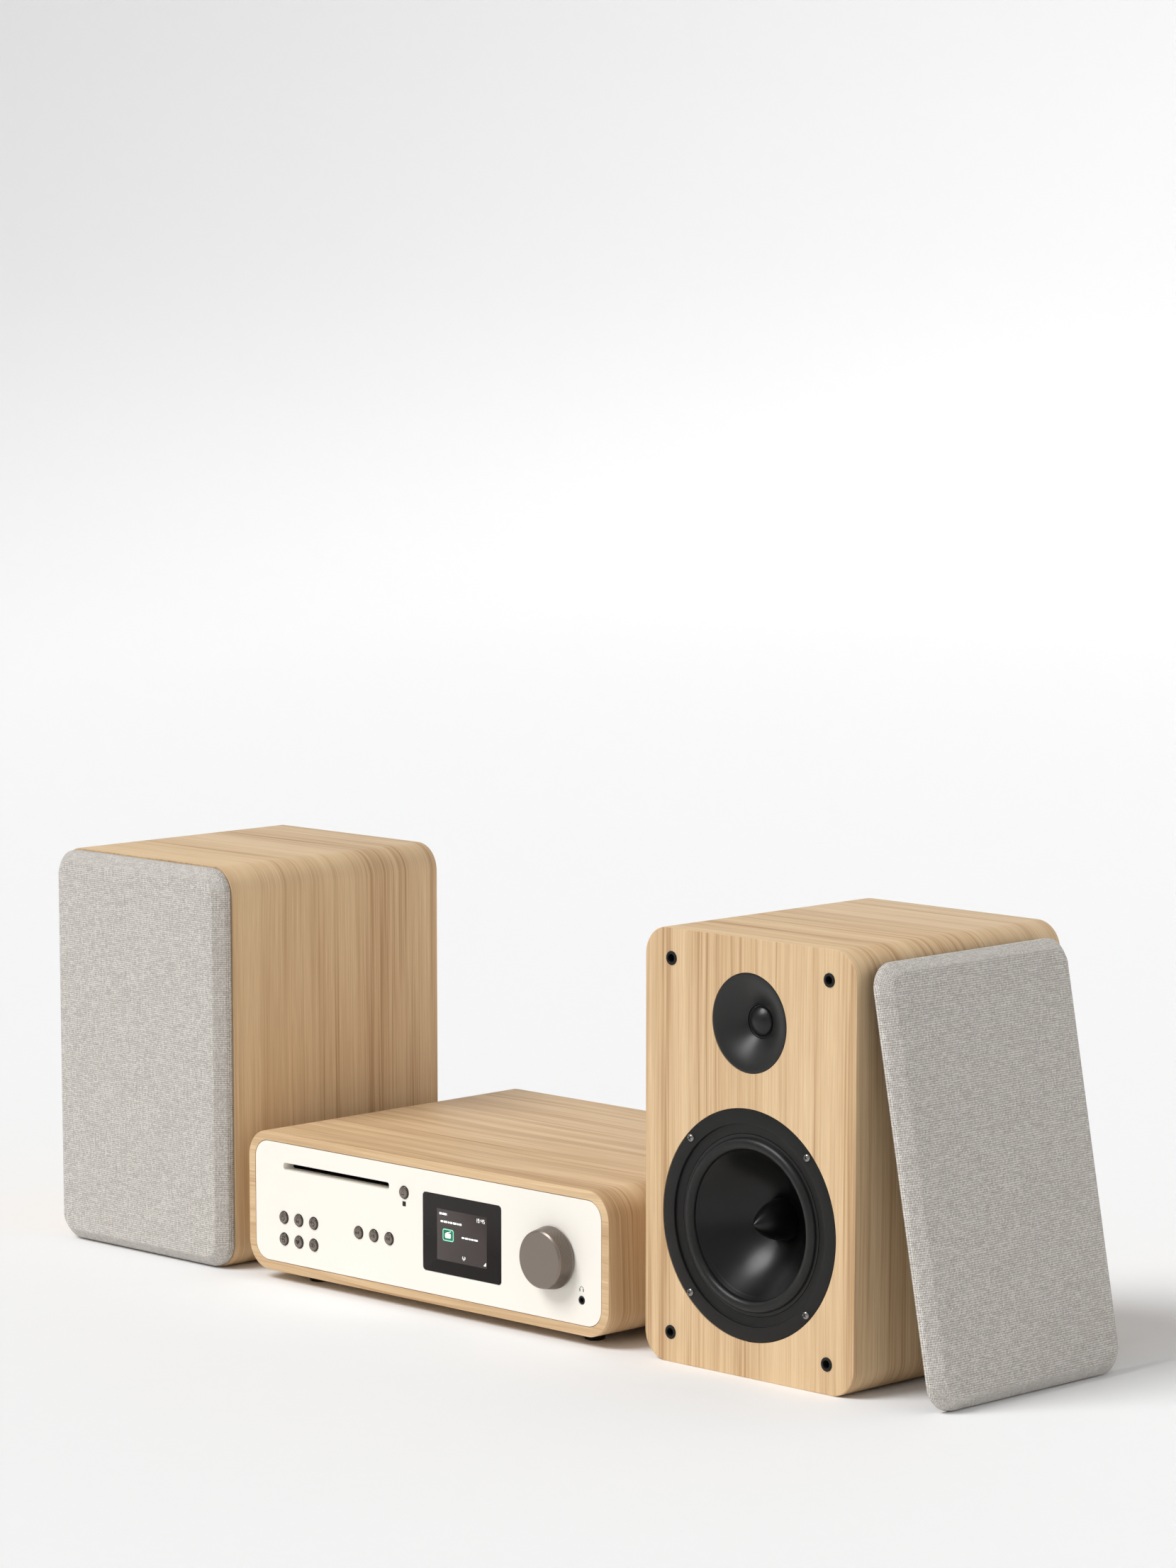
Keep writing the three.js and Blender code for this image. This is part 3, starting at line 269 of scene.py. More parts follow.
def woven_threads():
    """A plain weave over a UV map in metres: its height, its heathered threads and specks of painted shade
    in the gaps between threads.
    """
    found = bpy.data.node_groups.get("Woven threads")
    if found:
        return found
    group, given, out = new_group(
        "Woven threads",
        [("Vector", "Vector", None), ("Pitch", "Float", 0.001)],
        [("Height", "Float"), ("Heather", "Float"), ("Specks", "Float")],
    )
    parts = add(group, "ShaderNodeSeparateXYZ", {0: given["Vector"]}).outputs
    across = calculate(group, "DIVIDE", parts["X"], given["Pitch"])
    along = calculate(group, "DIVIDE", parts["Y"], given["Pitch"])
    warp_wave = calculate(group, "SINE", calculate(group, "MULTIPLY", across, pi))
    weft_wave = calculate(group, "SINE", calculate(group, "MULTIPLY", along, pi))
    over = calculate(group, "MULTIPLY", warp_wave, weft_wave)
    warp = calculate(group, "MULTIPLY_ADD", over, 0.4, calculate(group, "ABSOLUTE", warp_wave))
    weft = calculate(group, "MULTIPLY_ADD", over, -0.4, calculate(group, "ABSOLUTE", weft_wave))
    height = calculate(group, "MAXIMUM", warp, weft)
    group.links.new(height, out["Height"])
    tones = []
    for thread, run, order in ((across, parts["Y"], ("X", "Y")), (along, parts["X"], ("Y", "X"))):
        number = calculate(group, "MULTIPLY", calculate(group, "FLOOR", thread), 7.31)
        length = calculate(group, "MULTIPLY", run, 130)
        place = add(group, "ShaderNodeCombineXYZ", {order[0]: number, order[1]: length}).outputs[0]
        tones.append(noise(group, place, 1, 1))
    top = remap(group, over, -0.15, 0.15)
    heather = add(group, "ShaderNodeMix", {0: top, 2: tones[1], 3: tones[0]}).outputs[0]
    group.links.new(remap(group, heather, 0.3, 0.7), out["Heather"])
    # Specks of painted shade, where gaps between threads would show dark.
    specks = noise(group, scaled(group, given["Vector"], (520, 520, 0), (3, 3, 0)), 1, 1)
    hollow_shade = remap(group, height, 0.45, 1.0, 1.0, 0.0)
    group.links.new(calculate(group, "MULTIPLY", remap(group, specks, 0.42, 0.7), hollow_shade), out["Specks"])
    return group


def turned_lines():
    """Fine rings round an object's own Y axis, as a lathe or a spinning brush leaves them."""
    found = bpy.data.node_groups.get("Turned lines")
    if found:
        return found
    group, given, out = new_group("Turned lines", [("Spacing", "Float", 0.0003)], [("Lines", "Float")])
    place = object_point(group)
    along = add(group, "ShaderNodeSeparateXYZ", {0: place}).outputs["Y"]
    both = add(group, "ShaderNodeCombineXYZ", {"X": from_axis(group, place), "Y": along}).outputs[0]
    density = calculate(group, "DIVIDE", 1.0, given["Spacing"])
    group.links.new(noise(group, both, density, 1), out["Lines"])
    return group


def new_material(name, shader):
    """A material with its Principled shader's plain values, its tree and that shader."""
    material = bpy.data.materials.new(name)
    material.use_nodes = True
    principled = material.node_tree.nodes["Principled BSDF"]
    for socket, value in shader.items():
        principled.inputs[socket].default_value = value
    return material, material.node_tree, principled


def link(tree, output, principled, socket="Base Color"):
    tree.links.new(output, principled.inputs[socket])


def darkened(tone, share):
    return tuple(channel * share for channel in tone)


def bump(tree, principled, height, depth, strength=0.5):
    """Feeds a Bump node of a plain strength and depth in metres into the shader's normal."""
    node = add(tree, "ShaderNodeBump", {"Height": height, "Strength": strength, "Distance": depth})
    link(tree, node.outputs[0], principled, "Normal")


SOCKETS = {"metallic": "Metallic", "specular": "Specular IOR Level", "coat": "Coat Weight"}


def grained(name, tone, roughness, spread=0.06, patch=0.03, grain=0.0006, depth=0.00003, **shader):
    """A plain-coloured finish with a slight unevenness of tone and gloss and a fine grain."""
    found = bpy.data.materials.get(name)
    if found:
        return found
    material, tree, principled = new_material(name, {SOCKETS[key]: value for key, value in shader.items()})
    source = add_group(tree, surface_grain(), {"Patch size": patch, "Grain size": grain})
    patches = source.outputs["Patches"]
    link(tree, blended(tree, patches, darkened(tone, 1 - spread), tone), principled)
    rough = remap(tree, patches, 0.0, 1.0, roughness * 0.93, roughness * 1.07)
    link(tree, rough, principled, "Roughness")
    bump(tree, principled, source.outputs["Grain"], depth)
    return material


def veneer(waviness=0.006, swell=0.1):
    name = "Straight wood veneer" if waviness < 0.01 else "Wavy wood veneer"
    found = bpy.data.materials.get(name)
    if found:
        return found
    finishes = bpy.context.scene.hifi_finishes
    material, tree, principled = new_material(name, {"Specular IOR Level": 0.22})
    uv = add(tree, "ShaderNodeUVMap", uv_map="grain").outputs[0]
    grain = add_group(tree, veneer_grain(), {"Vector": uv, "Waviness": waviness})
    bands = grain.outputs["Bands"]
    low = blended(tree, remap(tree, bands, 0.0, 0.45), finishes.veneer_dark, finishes.veneer_mid)
    base = blended(tree, remap(tree, bands, 0.3, 1.0), low, finishes.veneer_pale)
    swollen = calculate(tree, "MULTIPLY", grain.outputs["Swells"], swell)
    base = blended(tree, swollen, base, finishes.veneer_dark)
    share = calculate(tree, "MULTIPLY", grain.outputs["Streaks"], 0.13)
    streaked = blended(tree, share, base, finishes.veneer_dark)
    fibre_share = remap(tree, grain.outputs["Fibres"], 0.32, 0.68, 0.0, 0.3)
    link(tree, blended(tree, fibre_share, streaked, finishes.veneer_dark), principled)
    link(tree, remap(tree, bands, 0.0, 1.0, 0.56, 0.48), principled, "Roughness")
    height = calculate(tree, "SUBTRACT", grain.outputs["Fibres"], grain.outputs["Streaks"])
    bump(tree, principled, height, 0.00004, 0.35)
    return material


def grille_cloth():
    found = bpy.data.materials.get("Heathered grille cloth")
    if found:
        return found
    finishes = bpy.context.scene.hifi_finishes
    material, tree, principled = new_material(
        "Heathered grille cloth",
        {"Roughness": 0.95, "Specular IOR Level": 0.15, "Sheen Weight": 0.25, "Sheen Roughness": 0.5},
    )
    uv = add(tree, "ShaderNodeUVMap", uv_map="weave").outputs[0]
    pitch = bpy.context.scene.hifi_sizes.thread
    threads = add_group(tree, woven_threads(), {"Vector": uv, "Pitch": pitch})
    tone = blended(tree, threads.outputs["Heather"], finishes.cloth_dark, finishes.cloth_pale)
    # Painted shade: darker down in the valleys between threads, and in dark specks.
    hollows = remap(tree, threads.outputs["Height"], 0.4, 1.05, 0.55, 0.0)
    tone = blended(tree, hollows, tone, finishes.cloth_hollow)
    link(tree, blended(tree, threads.outputs["Specks"], tone, finishes.cloth_hollow), principled)
    bump(tree, principled, threads.outputs["Height"], 0.00025, 0.7)
    return material


def turned_metal(name, tone, roughness, spacing=0.0004, **shader):
    """Anodised or plated metal with the fine rings of its turning."""
    found = bpy.data.materials.get(name)
    if found:
        return found
    material, tree, principled = new_material(name, {"Metallic": shader.get("metallic", 1.0)})
    lines = add_group(tree, turned_lines(), {"Spacing": spacing}).outputs[0]
    link(tree, blended(tree, lines, darkened(tone, 0.9), tone), principled)
    link(tree, remap(tree, lines, 0.3, 0.7, roughness * 0.88, roughness * 1.12), principled, "Roughness")
    bump(tree, principled, lines, 0.00002, 0.3)
    return material


KNURL_START, KNURL_RADIUS, KNURL_SPREAD, KNURL_DEPTH = 2.0 * MM, 23.0 * MM, 1.7 * MM, 0.38 * MM


def control_metal(run):
    """The knob's turned metal with painted shade in the hollows of the knurl, which spreads along run."""
    tone = bpy.context.scene.hifi_finishes.controls
    material = turned_metal("Taupe anodised metal", tone, 0.34, metallic=0.8)
    tree = material.node_tree
    principled = tree.nodes["Principled BSDF"]
    face = principled.inputs["Base Color"].links[0].from_socket
    place = object_point(tree)
    along = add(tree, "ShaderNodeSeparateXYZ", {0: place}).outputs["Y"]
    slope = KNURL_SPREAD / run
    crest = calculate(tree, "MULTIPLY_ADD", along, slope, KNURL_RADIUS - KNURL_START * slope)
    sunk = calculate(tree, "SUBTRACT", crest, from_axis(tree, place))
    # Painted shade: darker where the knurl sinks below its crest, from just behind the front edge.
    hollow_shade = remap(tree, sunk, 0.15 * KNURL_DEPTH, 0.95 * KNURL_DEPTH, 0.0, 0.75)
    hollow_shade = calculate(tree, "MULTIPLY", hollow_shade, remap(tree, along, KNURL_START, KNURL_START + 0.3 * MM))
    link(tree, blended(tree, hollow_shade, face, darkened(tone, 0.2)), principled)
    return material


def button_metal():
    """The knob's metal with painted shade, a dark ring round each cap's rim."""
    found = bpy.data.materials.get("Taupe button metal")
    if found:
        return found
    tone = bpy.context.scene.hifi_finishes.controls
    material, tree, principled = new_material("Taupe button metal", {"Metallic": 0.85})
    lines = add_group(tree, turned_lines(), {"Spacing": 0.0003}).outputs[0]
    # Painted shade: the cap goes dark towards its rim.
    edge = remap(tree, from_axis(tree, object_point(tree)), 3.6 * MM, 5.0 * MM)
    worn = remap(tree, lines, 0.3, 0.7, 0.0, 0.15)
    # One dark tone for the turned lines and for the painted shade at the rim.
    dark = darkened(tone, 0.3)
    face = blended(tree, worn, tone, dark)
    link(tree, blended(tree, edge, face, dark), principled)
    link(tree, remap(tree, lines, 0.3, 0.7, 0.24, 0.32), principled, "Roughness")
    bump(tree, principled, lines, 0.00002, 0.3)
    return material


# The plain finishes: name, colour or the setting that holds it, roughness, spread of tone, sizes of
# the patches and of the grain, depth of the grain and specular level; sizes in metres
PLAIN_FINISHES = {
    "horn_black": ("Horn black", "driver", 0.38, 0.05, 0.03, 0.0005, 0.00001, 0.42),
    "driver_frame": ("Driver frame black", "driver", 0.44, 0.08, 0.02, 0.0005, 0.00003, 0.26),
    "panel_cream": ("Cream panel", "panel", 0.42, 0.015, 0.08, 0.0004, 0.00001, 0.5),
    "cone_black": ("Woofer cone black", paint(5, 5, 5), 0.31, 0.08, 0.02, 0.0008, 0.00002, 0.34),
    "roll_rubber": ("Surround rubber", paint(30, 30, 29), 0.36, 0.08, 0.01, 0.0006, 0.00003, 0.3),
    "dome_silk": ("Coated silk", paint(16, 16, 16), 0.34, 0.1, 0.004, 0.0011, 0.00015, 0.42),
    "satin_black": ("Satin black plastic", paint(24, 24, 25), 0.45, 0.08, 0.02, 0.0005, 0.00004, 0.35),
    "matt_black": ("Matt black board", paint(22, 22, 22), 0.8, 0.1, 0.02, 0.001, 0.0001, 0.25),
    "foot_rubber": ("Foot rubber", paint(22, 22, 22), 0.6, 0.1, 0.006, 0.0005, 0.00005, 0.3),
    "powder_coat": ("Black powder coat", paint(38, 38, 39), 0.6, 0.06, 0.03, 0.0007, 0.00008, 0.5),
    "board_green": ("Circuit board", paint(34, 92, 60), 0.45, 0.25, 0.006, 0.0012, 0.00008, 0.5),
    # Ink of the printed marks, and the painted shade in the screws' cross recesses.
    "engraving": ("Engraving ink", paint(34, 31, 29), 0.5, 0.05, 0.002, 0.0003, 0.00001, 0.5),
    "red_cap": ("Red terminal cap", paint(150, 28, 24), 0.35, 0.08, 0.01, 0.0005, 0.00003, 0.5),
}


def plain(key):
    """One of the plain finishes."""
    name, tone, *values, specular = PLAIN_FINISHES[key]
    if isinstance(tone, str):
        tone = getattr(bpy.context.scene.hifi_finishes, tone)
    return grained(name, tone, *values, specular=specular)


def bright_screw():
    return turned_metal("Bright plated steel", paint(196, 196, 194), 0.22)


def dark_screw():
    return turned_metal("Dark plated steel", paint(150, 149, 147), 0.18)


def smoked_window():
    """Near-black acrylic with painted light, a little lighter towards its top."""
    found = bpy.data.materials.get("Smoked acrylic")
    if found:
        return found
    material, tree, principled = new_material(
        "Smoked acrylic", {"Roughness": 0.12, "Specular IOR Level": 0.2}
    )
    # Painted light: the colour grows lighter towards the top.
    rise = add(tree, "ShaderNodeSeparateXYZ", {0: object_point(tree)}).outputs["Z"]
    share = remap(tree, rise, -0.02, 0.03)
    link(tree, blended(tree, share, paint(22, 17, 15), paint(40, 36, 35)), principled)
    return material


def lit(name, tone, strength):
    """What a lit display shows: a steady glow with a slight screen grain."""
    found = bpy.data.materials.get(name)
    if found:
        return found
    material, tree, principled = new_material(
        name, {"Base Color": (*tone, 1), "Roughness": 0.25, "Emission Strength": strength}
    )
    source = add_group(tree, surface_grain(), {"Patch size": 0.02, "Grain size": 0.0003})
    glow = blended(tree, source.outputs["Patches"], darkened(tone, 0.85), tone)
    link(tree, glow, principled, "Emission Color")
    return material


# ------------------------------------------------------------------ mesh helpers


def rounded(low, high, radius, inset=0.0, steps=10):
    """(x, z) points round a rectangle with round corners, drawn in by inset."""
    (x0, z0), (x1, z1) = low, high
    x0, z0, x1, z1 = x0 + inset, z0 + inset, x1 - inset, z1 - inset
    r = max(radius - inset, 0.0002)
    centres = ((x1 - r, z0 + r, -90), (x1 - r, z1 - r, 0), (x0 + r, z1 - r, 90), (x0 + r, z0 + r, 180))
    return [
        (cx + r * cos(radians(start + 90 * i / steps)), cz + r * sin(radians(start + 90 * i / steps)))
        for cx, cz, start in centres
        for i in range(steps + 1)
    ]


def circle(x, z, radius, steps=48):
    turns = [2 * pi * i / steps for i in range(steps)]
    return [(x + radius * cos(a), z + radius * sin(a)) for a in turns]


def mm(profile):
    """(radius, y) steps given in millimetres, in metres."""
    return [(r * MM, y * MM) for r, y in profile]


def rectangle(low, high, radius, steps=4, drawn_in=0.0):
    """The outline, for any further inset, of a round-cornered rectangle between (x, z) corners."""
    return lambda inset: rounded(low, high, radius, drawn_in + inset, steps)


def box_outline(centre, half_width, half_height, radius, steps=4):
    """The same about a centre."""
    low = (centre.x - half_width, centre.z - half_height)
    high = (centre.x + half_width, centre.z + half_height)
    return rectangle(low, high, radius, steps)


def at(points, y):
    return [(x, y, z) for x, z in points]


def finish_mesh(name, bm, material, smooth=35):
    """An object from bm, shaded smooth except across edges sharper than smooth degrees."""
    bmesh.ops.recalc_face_normals(bm, faces=bm.faces)
    mesh = bpy.data.meshes.new(name)
    bm.to_mesh(mesh)
    bm.free()
    mesh.shade_smooth()
    mesh.set_sharp_from_angle(angle=radians(smooth))
    mesh.materials.append(material)
    piece = bpy.data.objects.new(name, mesh)
    bpy.context.scene.collection.objects.link(piece)
    return piece


def bridge(bm, rows, wrap=False):
    """Faces between rows of vertices; a row of one vertex is a tip."""
    pairs = list(zip(rows, rows[1:]))
    if wrap:
        pairs.append((rows[-1], rows[0]))
    for first, second in pairs:
        count = max(len(first), len(second))
        for i in range(count):
            j = (i + 1) % count
            corners = [row[k % len(row)] for row, k in ((first, i), (first, j), (second, j), (second, i))]
            bm.faces.new(dict.fromkeys(corners))


def loft(name, loops, material, wrap=False, smooth=35):
    """A closed mesh through loops of points: wrapped round to the first, or capped at both ends."""
    bm = bmesh.new()
    rows = [[bm.verts.new(point) for point in loop] for loop in loops]
    bridge(bm, rows, wrap)
    if not wrap:
        for row in (rows[0], rows[-1]):
            if len(row) > 2:
                bm.faces.new(row)
    return finish_mesh(name, bm, material, smooth)


def prism(name, outline, profile, material, wrap=False, smooth=35):
    """A loft of outline(inset) through (inset, y) steps."""
    return loft(name, [at(outline(inset), y) for inset, y in profile], material, wrap, smooth)


def rings(profile, steps):
    """Rings of points round the Y axis for (radius, y) steps; no radius gives a single point."""
    return [at(circle(0, 0, r, steps), y) if r > 0 else [(0, y, 0)] for r, y in profile]


def turn(name, profile, material, centre=(0, 0, 0), steps=64, wrap=False, smooth=35):
    """(radius, y) steps turned round an axis along Y through centre, the object's own origin."""
    piece = loft(name, rings(profile, steps), material, wrap, smooth)
    piece.location = centre
    return piece


def holed_plate(name, outer, holes, front, back, material, edge=0.3 * MM, smooth=12):
    """A flat plate between two y planes. outer and each hole give (x, z) points for an inset."""
    bm = bmesh.new()
    steps = ((edge, front), (edge * 0.3, front + edge * 0.3), (0.0, front + edge), (0.0, back))
    rims = []
    for ring, sign in [(outer, 1)] + [(hole, -1) for hole in holes]:
        rows = [[bm.verts.new(point) for point in at(ring(sign * inset), y)] for inset, y in steps]
        bridge(bm, rows)
        rims.append(rows)
    for level in (0, -1):
        loops = [rows[level] for rows in rims]
        flat = [vertex for loop in loops for vertex in loop]
        for triangle in tessellate_polygon([[v.co for v in loop] for loop in loops]):
            bm.faces.new([flat[i] for i in triangle])
    return finish_mesh(name, bm, material, smooth)


def soft_edge(radius, steps=4):
    """(inset, depth) steps of a quarter-round edge, from the face out to the side."""
    turns = [pi / 2 * i / steps for i in range(steps + 1)]
    return [(radius * (1 - sin(a)), radius * (1 - cos(a))) for a in turns]


def dome_steps(sphere, radius, steps):
    """(radius, y) steps from a dome's crown out to radius, on a sphere of that radius."""
    radii = [radius * i / steps for i in range(steps + 1)]
    return [(r, sphere - sqrt(sphere**2 - r * r)) for r in radii]


def map_uv(piece, name, place):
    """A UV map in metres; place gives (u, v) for a point and its face's normal."""
    layer = piece.data.uv_layers.new(name=name)
    mesh = piece.data
    for polygon in mesh.polygons:
        for loop in polygon.loop_indices:
            point = mesh.vertices[mesh.loops[loop].vertex_index].co
            layer.data[loop].uv = place(point, polygon.normal)
    return piece


def placed(piece, body, slot, *nodes):
    """Rides a piece on its body and stands it in for CAD nodes, which it hides; slot is not used."""
    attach(piece, body)
    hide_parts(*nodes)
    return piece


def wrapped_grain(low, high, radius, face_grain, seed):
    """Where veneer wrapped round a box along Y lies on its sheet; the front has its own grain."""
    middle = ((low[0] + high[0]) / 2, (low[1] + high[1]) / 2)
    half = ((high[0] - low[0]) / 2 - radius, (high[1] - low[1]) / 2 - radius)
    quarter = radius * pi / 2

    def place(point, normal):
        dx, dz = point.x - middle[0], point.z - middle[1]
        if abs(normal.y) > 0.9:
            return (dx, dz + seed) if face_grain == "across" else (dz, dx + seed)
        side = 1 if dx >= 0 else -1
        beyond = abs(dx) - half[0]
        if abs(dz) <= half[1] and beyond > 0:
            run = half[0] + quarter + half[1] - dz
        elif beyond > 0 and dz > 0:
            run = half[0] + radius * atan2(beyond, dz - half[1])
        elif beyond > 0:
            run = half[0] + quarter + 2 * half[1] + radius * atan2(-dz - half[1], beyond)
        else:
            run = abs(dx) if dz > 0 else 2 * (half[0] + half[1] + quarter) - abs(dx)
        return (side * run, point.y + seed)

    return place


# ------------------------------------------------------------------ the main unit's places


def unit(x, y, z):
    """A point measured from the sleeve's lower left front corner, in millimetres."""
    return SLEEVE_LOW + Vector((x, y, z)) * MM


def middle_of(node):
    low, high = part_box(node)
    return (low + high) / 2


def case_outline(inset=0.0):
    low, high = (SLEEVE_LOW.x, SLEEVE_LOW.z), (SLEEVE_HIGH.x, SLEEVE_HIGH.z)
    return rounded(low, high, bpy.context.scene.hifi_sizes.case_radius, inset, CORNER_STEPS)


def inside_outline(gap):
    return lambda inset: case_outline(bpy.context.scene.hifi_sizes.case_wall + gap + inset)


def slot_outline(inset):
    sizes = bpy.context.scene.hifi_sizes
    x = middle_of("disc_turntable").x
    z = SLEEVE_LOW.z + sizes.slot_rise
    low = (x - sizes.slot_width / 2, z - sizes.slot_height / 2)
    high = (x + sizes.slot_width / 2, z + sizes.slot_height / 2)
    return rounded(low, high, 2 * MM, inset, 5)


def window_outline(grown=0.0):
    low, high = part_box("display_window")
    return lambda inset: rounded((low.x, low.z), (high.x, high.z), 3 * MM, inset - grown, 6)


def hole_round(node, radius):
    centre = middle_of(node)
    return lambda inset: circle(centre.x, centre.z, radius - inset, 40)


BUTTONS = [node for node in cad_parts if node.startswith("button_")]
BUTTON_HOLE, SHAFT_HOLE, NOZZLE_HOLE = 5.3 * MM, 4.4 * MM, 3.5 * MM
PANEL_THICKNESS, THROAT_WALL = 3 * MM, 1.6 * MM
SENSOR_RISE = 76.4 * MM


# ------------------------------------------------------------------ operators: the main unit


class BuildPart:
    bl_options = {"REGISTER", "UNDO"}


class HIFI_OT_cases(BuildPart, Operator):
    """Build the main unit's veneered sleeve"""

    bl_idname = "hifi.cases"
    bl_label = "Veneered sleeve"

    def execute(self, context):
        sizes = context.scene.hifi_sizes
        depth = SLEEVE_HIGH.y - SLEEVE_LOW.y
        wall, edge = sizes.case_wall, 0.5 * MM
        outer = soft_edge(edge)
        profile = outer + [(inset, depth - y) for inset, y in reversed(outer)]
        half = edge / 2
        profile += [(wall - half, depth), (wall, depth - half), (wall, half), (wall - half, 0)]
        profile = [(inset, SLEEVE_LOW.y + y) for inset, y in profile]
        sleeve = prism("sleeve", case_outline, profile, veneer(waviness=0.026, swell=0.5), wrap=True)
        low, high = (SLEEVE_LOW.x, SLEEVE_LOW.z), (SLEEVE_HIGH.x, SLEEVE_HIGH.z)
        map_uv(sleeve, "grain", wrapped_grain(low, high, sizes.case_radius, "across", 0.31))
        placed(sleeve, "main_unit", "veneer", "cabinet_sleeve")
        return {"FINISHED"}


class HIFI_OT_front_panel(BuildPart, Operator):
    """Build the cream front panel, its disc slot and throat and the headphone socket"""

    bl_idname = "hifi.front_panel"
    bl_label = "Front panel"

    def execute(self, context):
        low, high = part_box("front_panel")
        holes = [slot_outline, window_outline(0.25 * MM)]
        holes += [hole_round(node, BUTTON_HOLE) for node in BUTTONS]
        holes += [hole_round("volume_shaft", SHAFT_HOLE), hole_round("headphone_socket", NOZZLE_HOLE)]
        outer = inside_outline(context.scene.hifi_sizes.panel_gap)
        back = low.y + PANEL_THICKNESS
        panel = holed_plate("panel", outer, holes, low.y, back, plain("panel_cream"), 0.25 * MM)
        placed(panel, "main_unit", "cream_panel", "front_panel")
        profile = [(0, back), (-THROAT_WALL, back), (-THROAT_WALL, high.y), (0, high.y)]
        throat = prism("slot_throat", slot_outline, profile, plain("panel_cream"), wrap=True)
        placed(throat, "main_unit", "cream_panel")
        self.headphone_socket()
        self.panel_marks()
        return {"FINISHED"}

    def headphone_socket(self):
        low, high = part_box("headphone_socket")
        centre = middle_of("headphone_socket")
        body_y = low.y + 3.3 * MM
        nozzle = mm((
            (1.8, 7.5), (1.8, 0.6), (2.05, 0.15), (2.4, 0.0),
            (2.95, 0.0), (3.15, 0.2), (3.2, 0.5), (3.2, 3.4),
        ))
        foot = (centre.x, low.y, centre.z)
        ring = turn("headphone_nozzle", nozzle, plain("satin_black"), foot, 40, wrap=True)
        placed(ring, "main_unit", "black_plastic")
        half = (high.x - low.x) / 2
        outline = box_outline(centre, half, half, 1.5 * MM)
        profile = [(0.4 * MM, body_y + 0.2 * MM), (0, body_y + 0.6 * MM)]
        profile += [(0, high.y - 0.4 * MM), (0.4 * MM, high.y)]
        block = prism("headphone_body", outline, profile, plain("matt_black"))
        placed(block, "main_unit", "black_plastic", "headphone_socket")

    def panel_marks(self):
        """The sensor window under the eject button and the mark over the headphone socket."""
        front = SLEEVE_LOW.y
        eject = middle_of("button_eject")
        centre = Vector((eject.x, front, SLEEVE_LOW.z + SENSOR_RISE))
        profile = [(0.15 * MM, front - 0.06 * MM), (0, front), (0, front + MM)]
        outline = box_outline(centre, 2 * MM, 2 * MM, 0.5 * MM)
        sensor = prism("remote_sensor", outline, profile, smoked_window())
        placed(sensor, "main_unit", "smoked_acrylic")
        jack = middle_of("headphone_socket")
        marks = Strokes(Vector((jack.x, front - 0.03 * MM, jack.z + 9.2 * MM)), MM)
        marks.arc(0, -0.4, 1.9, 0, 180, 0.42)
        for side in (-1, 1):
            marks.line([(side * 1.9, -0.5), (side * 1.9, -1.9)], 0.95)
        placed(marks.build("headphone_mark", plain("engraving")), "main_unit", "cream_panel")


class Strokes:
    """Strokes drawn in the XZ plane, or over a dome that is proudest at the drawing's middle."""

    def __init__(self, origin, scale, dome_radius=0.0, thickness=0.04 * MM):
        self.origin, self.scale, self.dome_radius, self.thickness = origin, scale, dome_radius, thickness
        self.bm = bmesh.new()

    def point(self, x, z, back):
        """A point of the drawing on the surface, or a little inside it."""
        x, z = x * self.scale, z * self.scale
        y = 0.0
        if self.dome_radius:
            y = self.dome_radius - sqrt(self.dome_radius**2 - x * x - z * z)
        return self.origin + Vector((x, y + back * self.thickness, z))

    def shape(self, outline):
        """A filled outline with a little depth."""
        rows = [[self.bm.verts.new(self.point(x, z, back)) for x, z in outline] for back in (0, 1)]
        bridge(self.bm, rows)
        for row in rows:
            self.bm.faces.new(row)

    def line(self, points, width, pieces=3):
        """A stroke of that width along points, in short straight steps that follow a dome."""
        for (x0, z0), (x1, z1) in zip(points, points[1:]):
            run = hypot(x1 - x0, z1 - z0)
            nx, nz = -(z1 - z0) / run * width / 2, (x1 - x0) / run * width / 2
            ex, ez = (x1 - x0) / run * width / 2, (z1 - z0) / run * width / 2
            x0, z0, x1, z1 = x0 - ex * 0.8, z0 - ez * 0.8, x1 + ex * 0.8, z1 + ez * 0.8
            there = [(x0 + (x1 - x0) * i / pieces, z0 + (z1 - z0) * i / pieces) for i in range(pieces + 1)]
            left = [(x + nx, z + nz) for x, z in there]
            right = [(x - nx, z - nz) for x, z in there]
            self.shape(left + right[::-1])

    def arc(self, x, z, radius, start, end, width, steps=14):
        """A round stroke from start to end, in degrees."""
        angles = [radians(start + (end - start) * i / steps) for i in range(steps + 1)]
        outside = [(x + (radius + width / 2) * cos(a), z + (radius + width / 2) * sin(a)) for a in angles]
        inside = [(x + (radius - width / 2) * cos(a), z + (radius - width / 2) * sin(a)) for a in angles]
        self.shape(outside + inside[::-1])

    def build(self, name, material):
        return finish_mesh(name, self.bm, material, 30)


def draw_standby(s):
    s.arc(0, -0.1, 1.7, 125, 415, 0.5, 20)
    s.line([(0, 0.3), (0, 2.0)], 0.5)


def draw_home(s):
    s.shape([
        (-2.1, 0.1), (0, 2.0), (2.1, 0.1), (1.4, 0.1), (1.4, -1.7), (0.4, -1.7),
        (0.4, -0.6), (-0.4, -0.6), (-0.4, -1.7), (-1.4, -1.7), (-1.4, 0.1),
    ])


def draw_back(s):
    s.line([(-0.6, 1.9), (-1.9, 0.8), (-0.6, -0.3)], 0.5)
    s.line([(-1.7, 0.8), (0.7, 0.8)], 0.5)
    s.arc(0.7, -0.4, 1.2, -90, 90, 0.5, 12)
    s.line([(0.7, -1.6), (-1.2, -1.6)], 0.5)


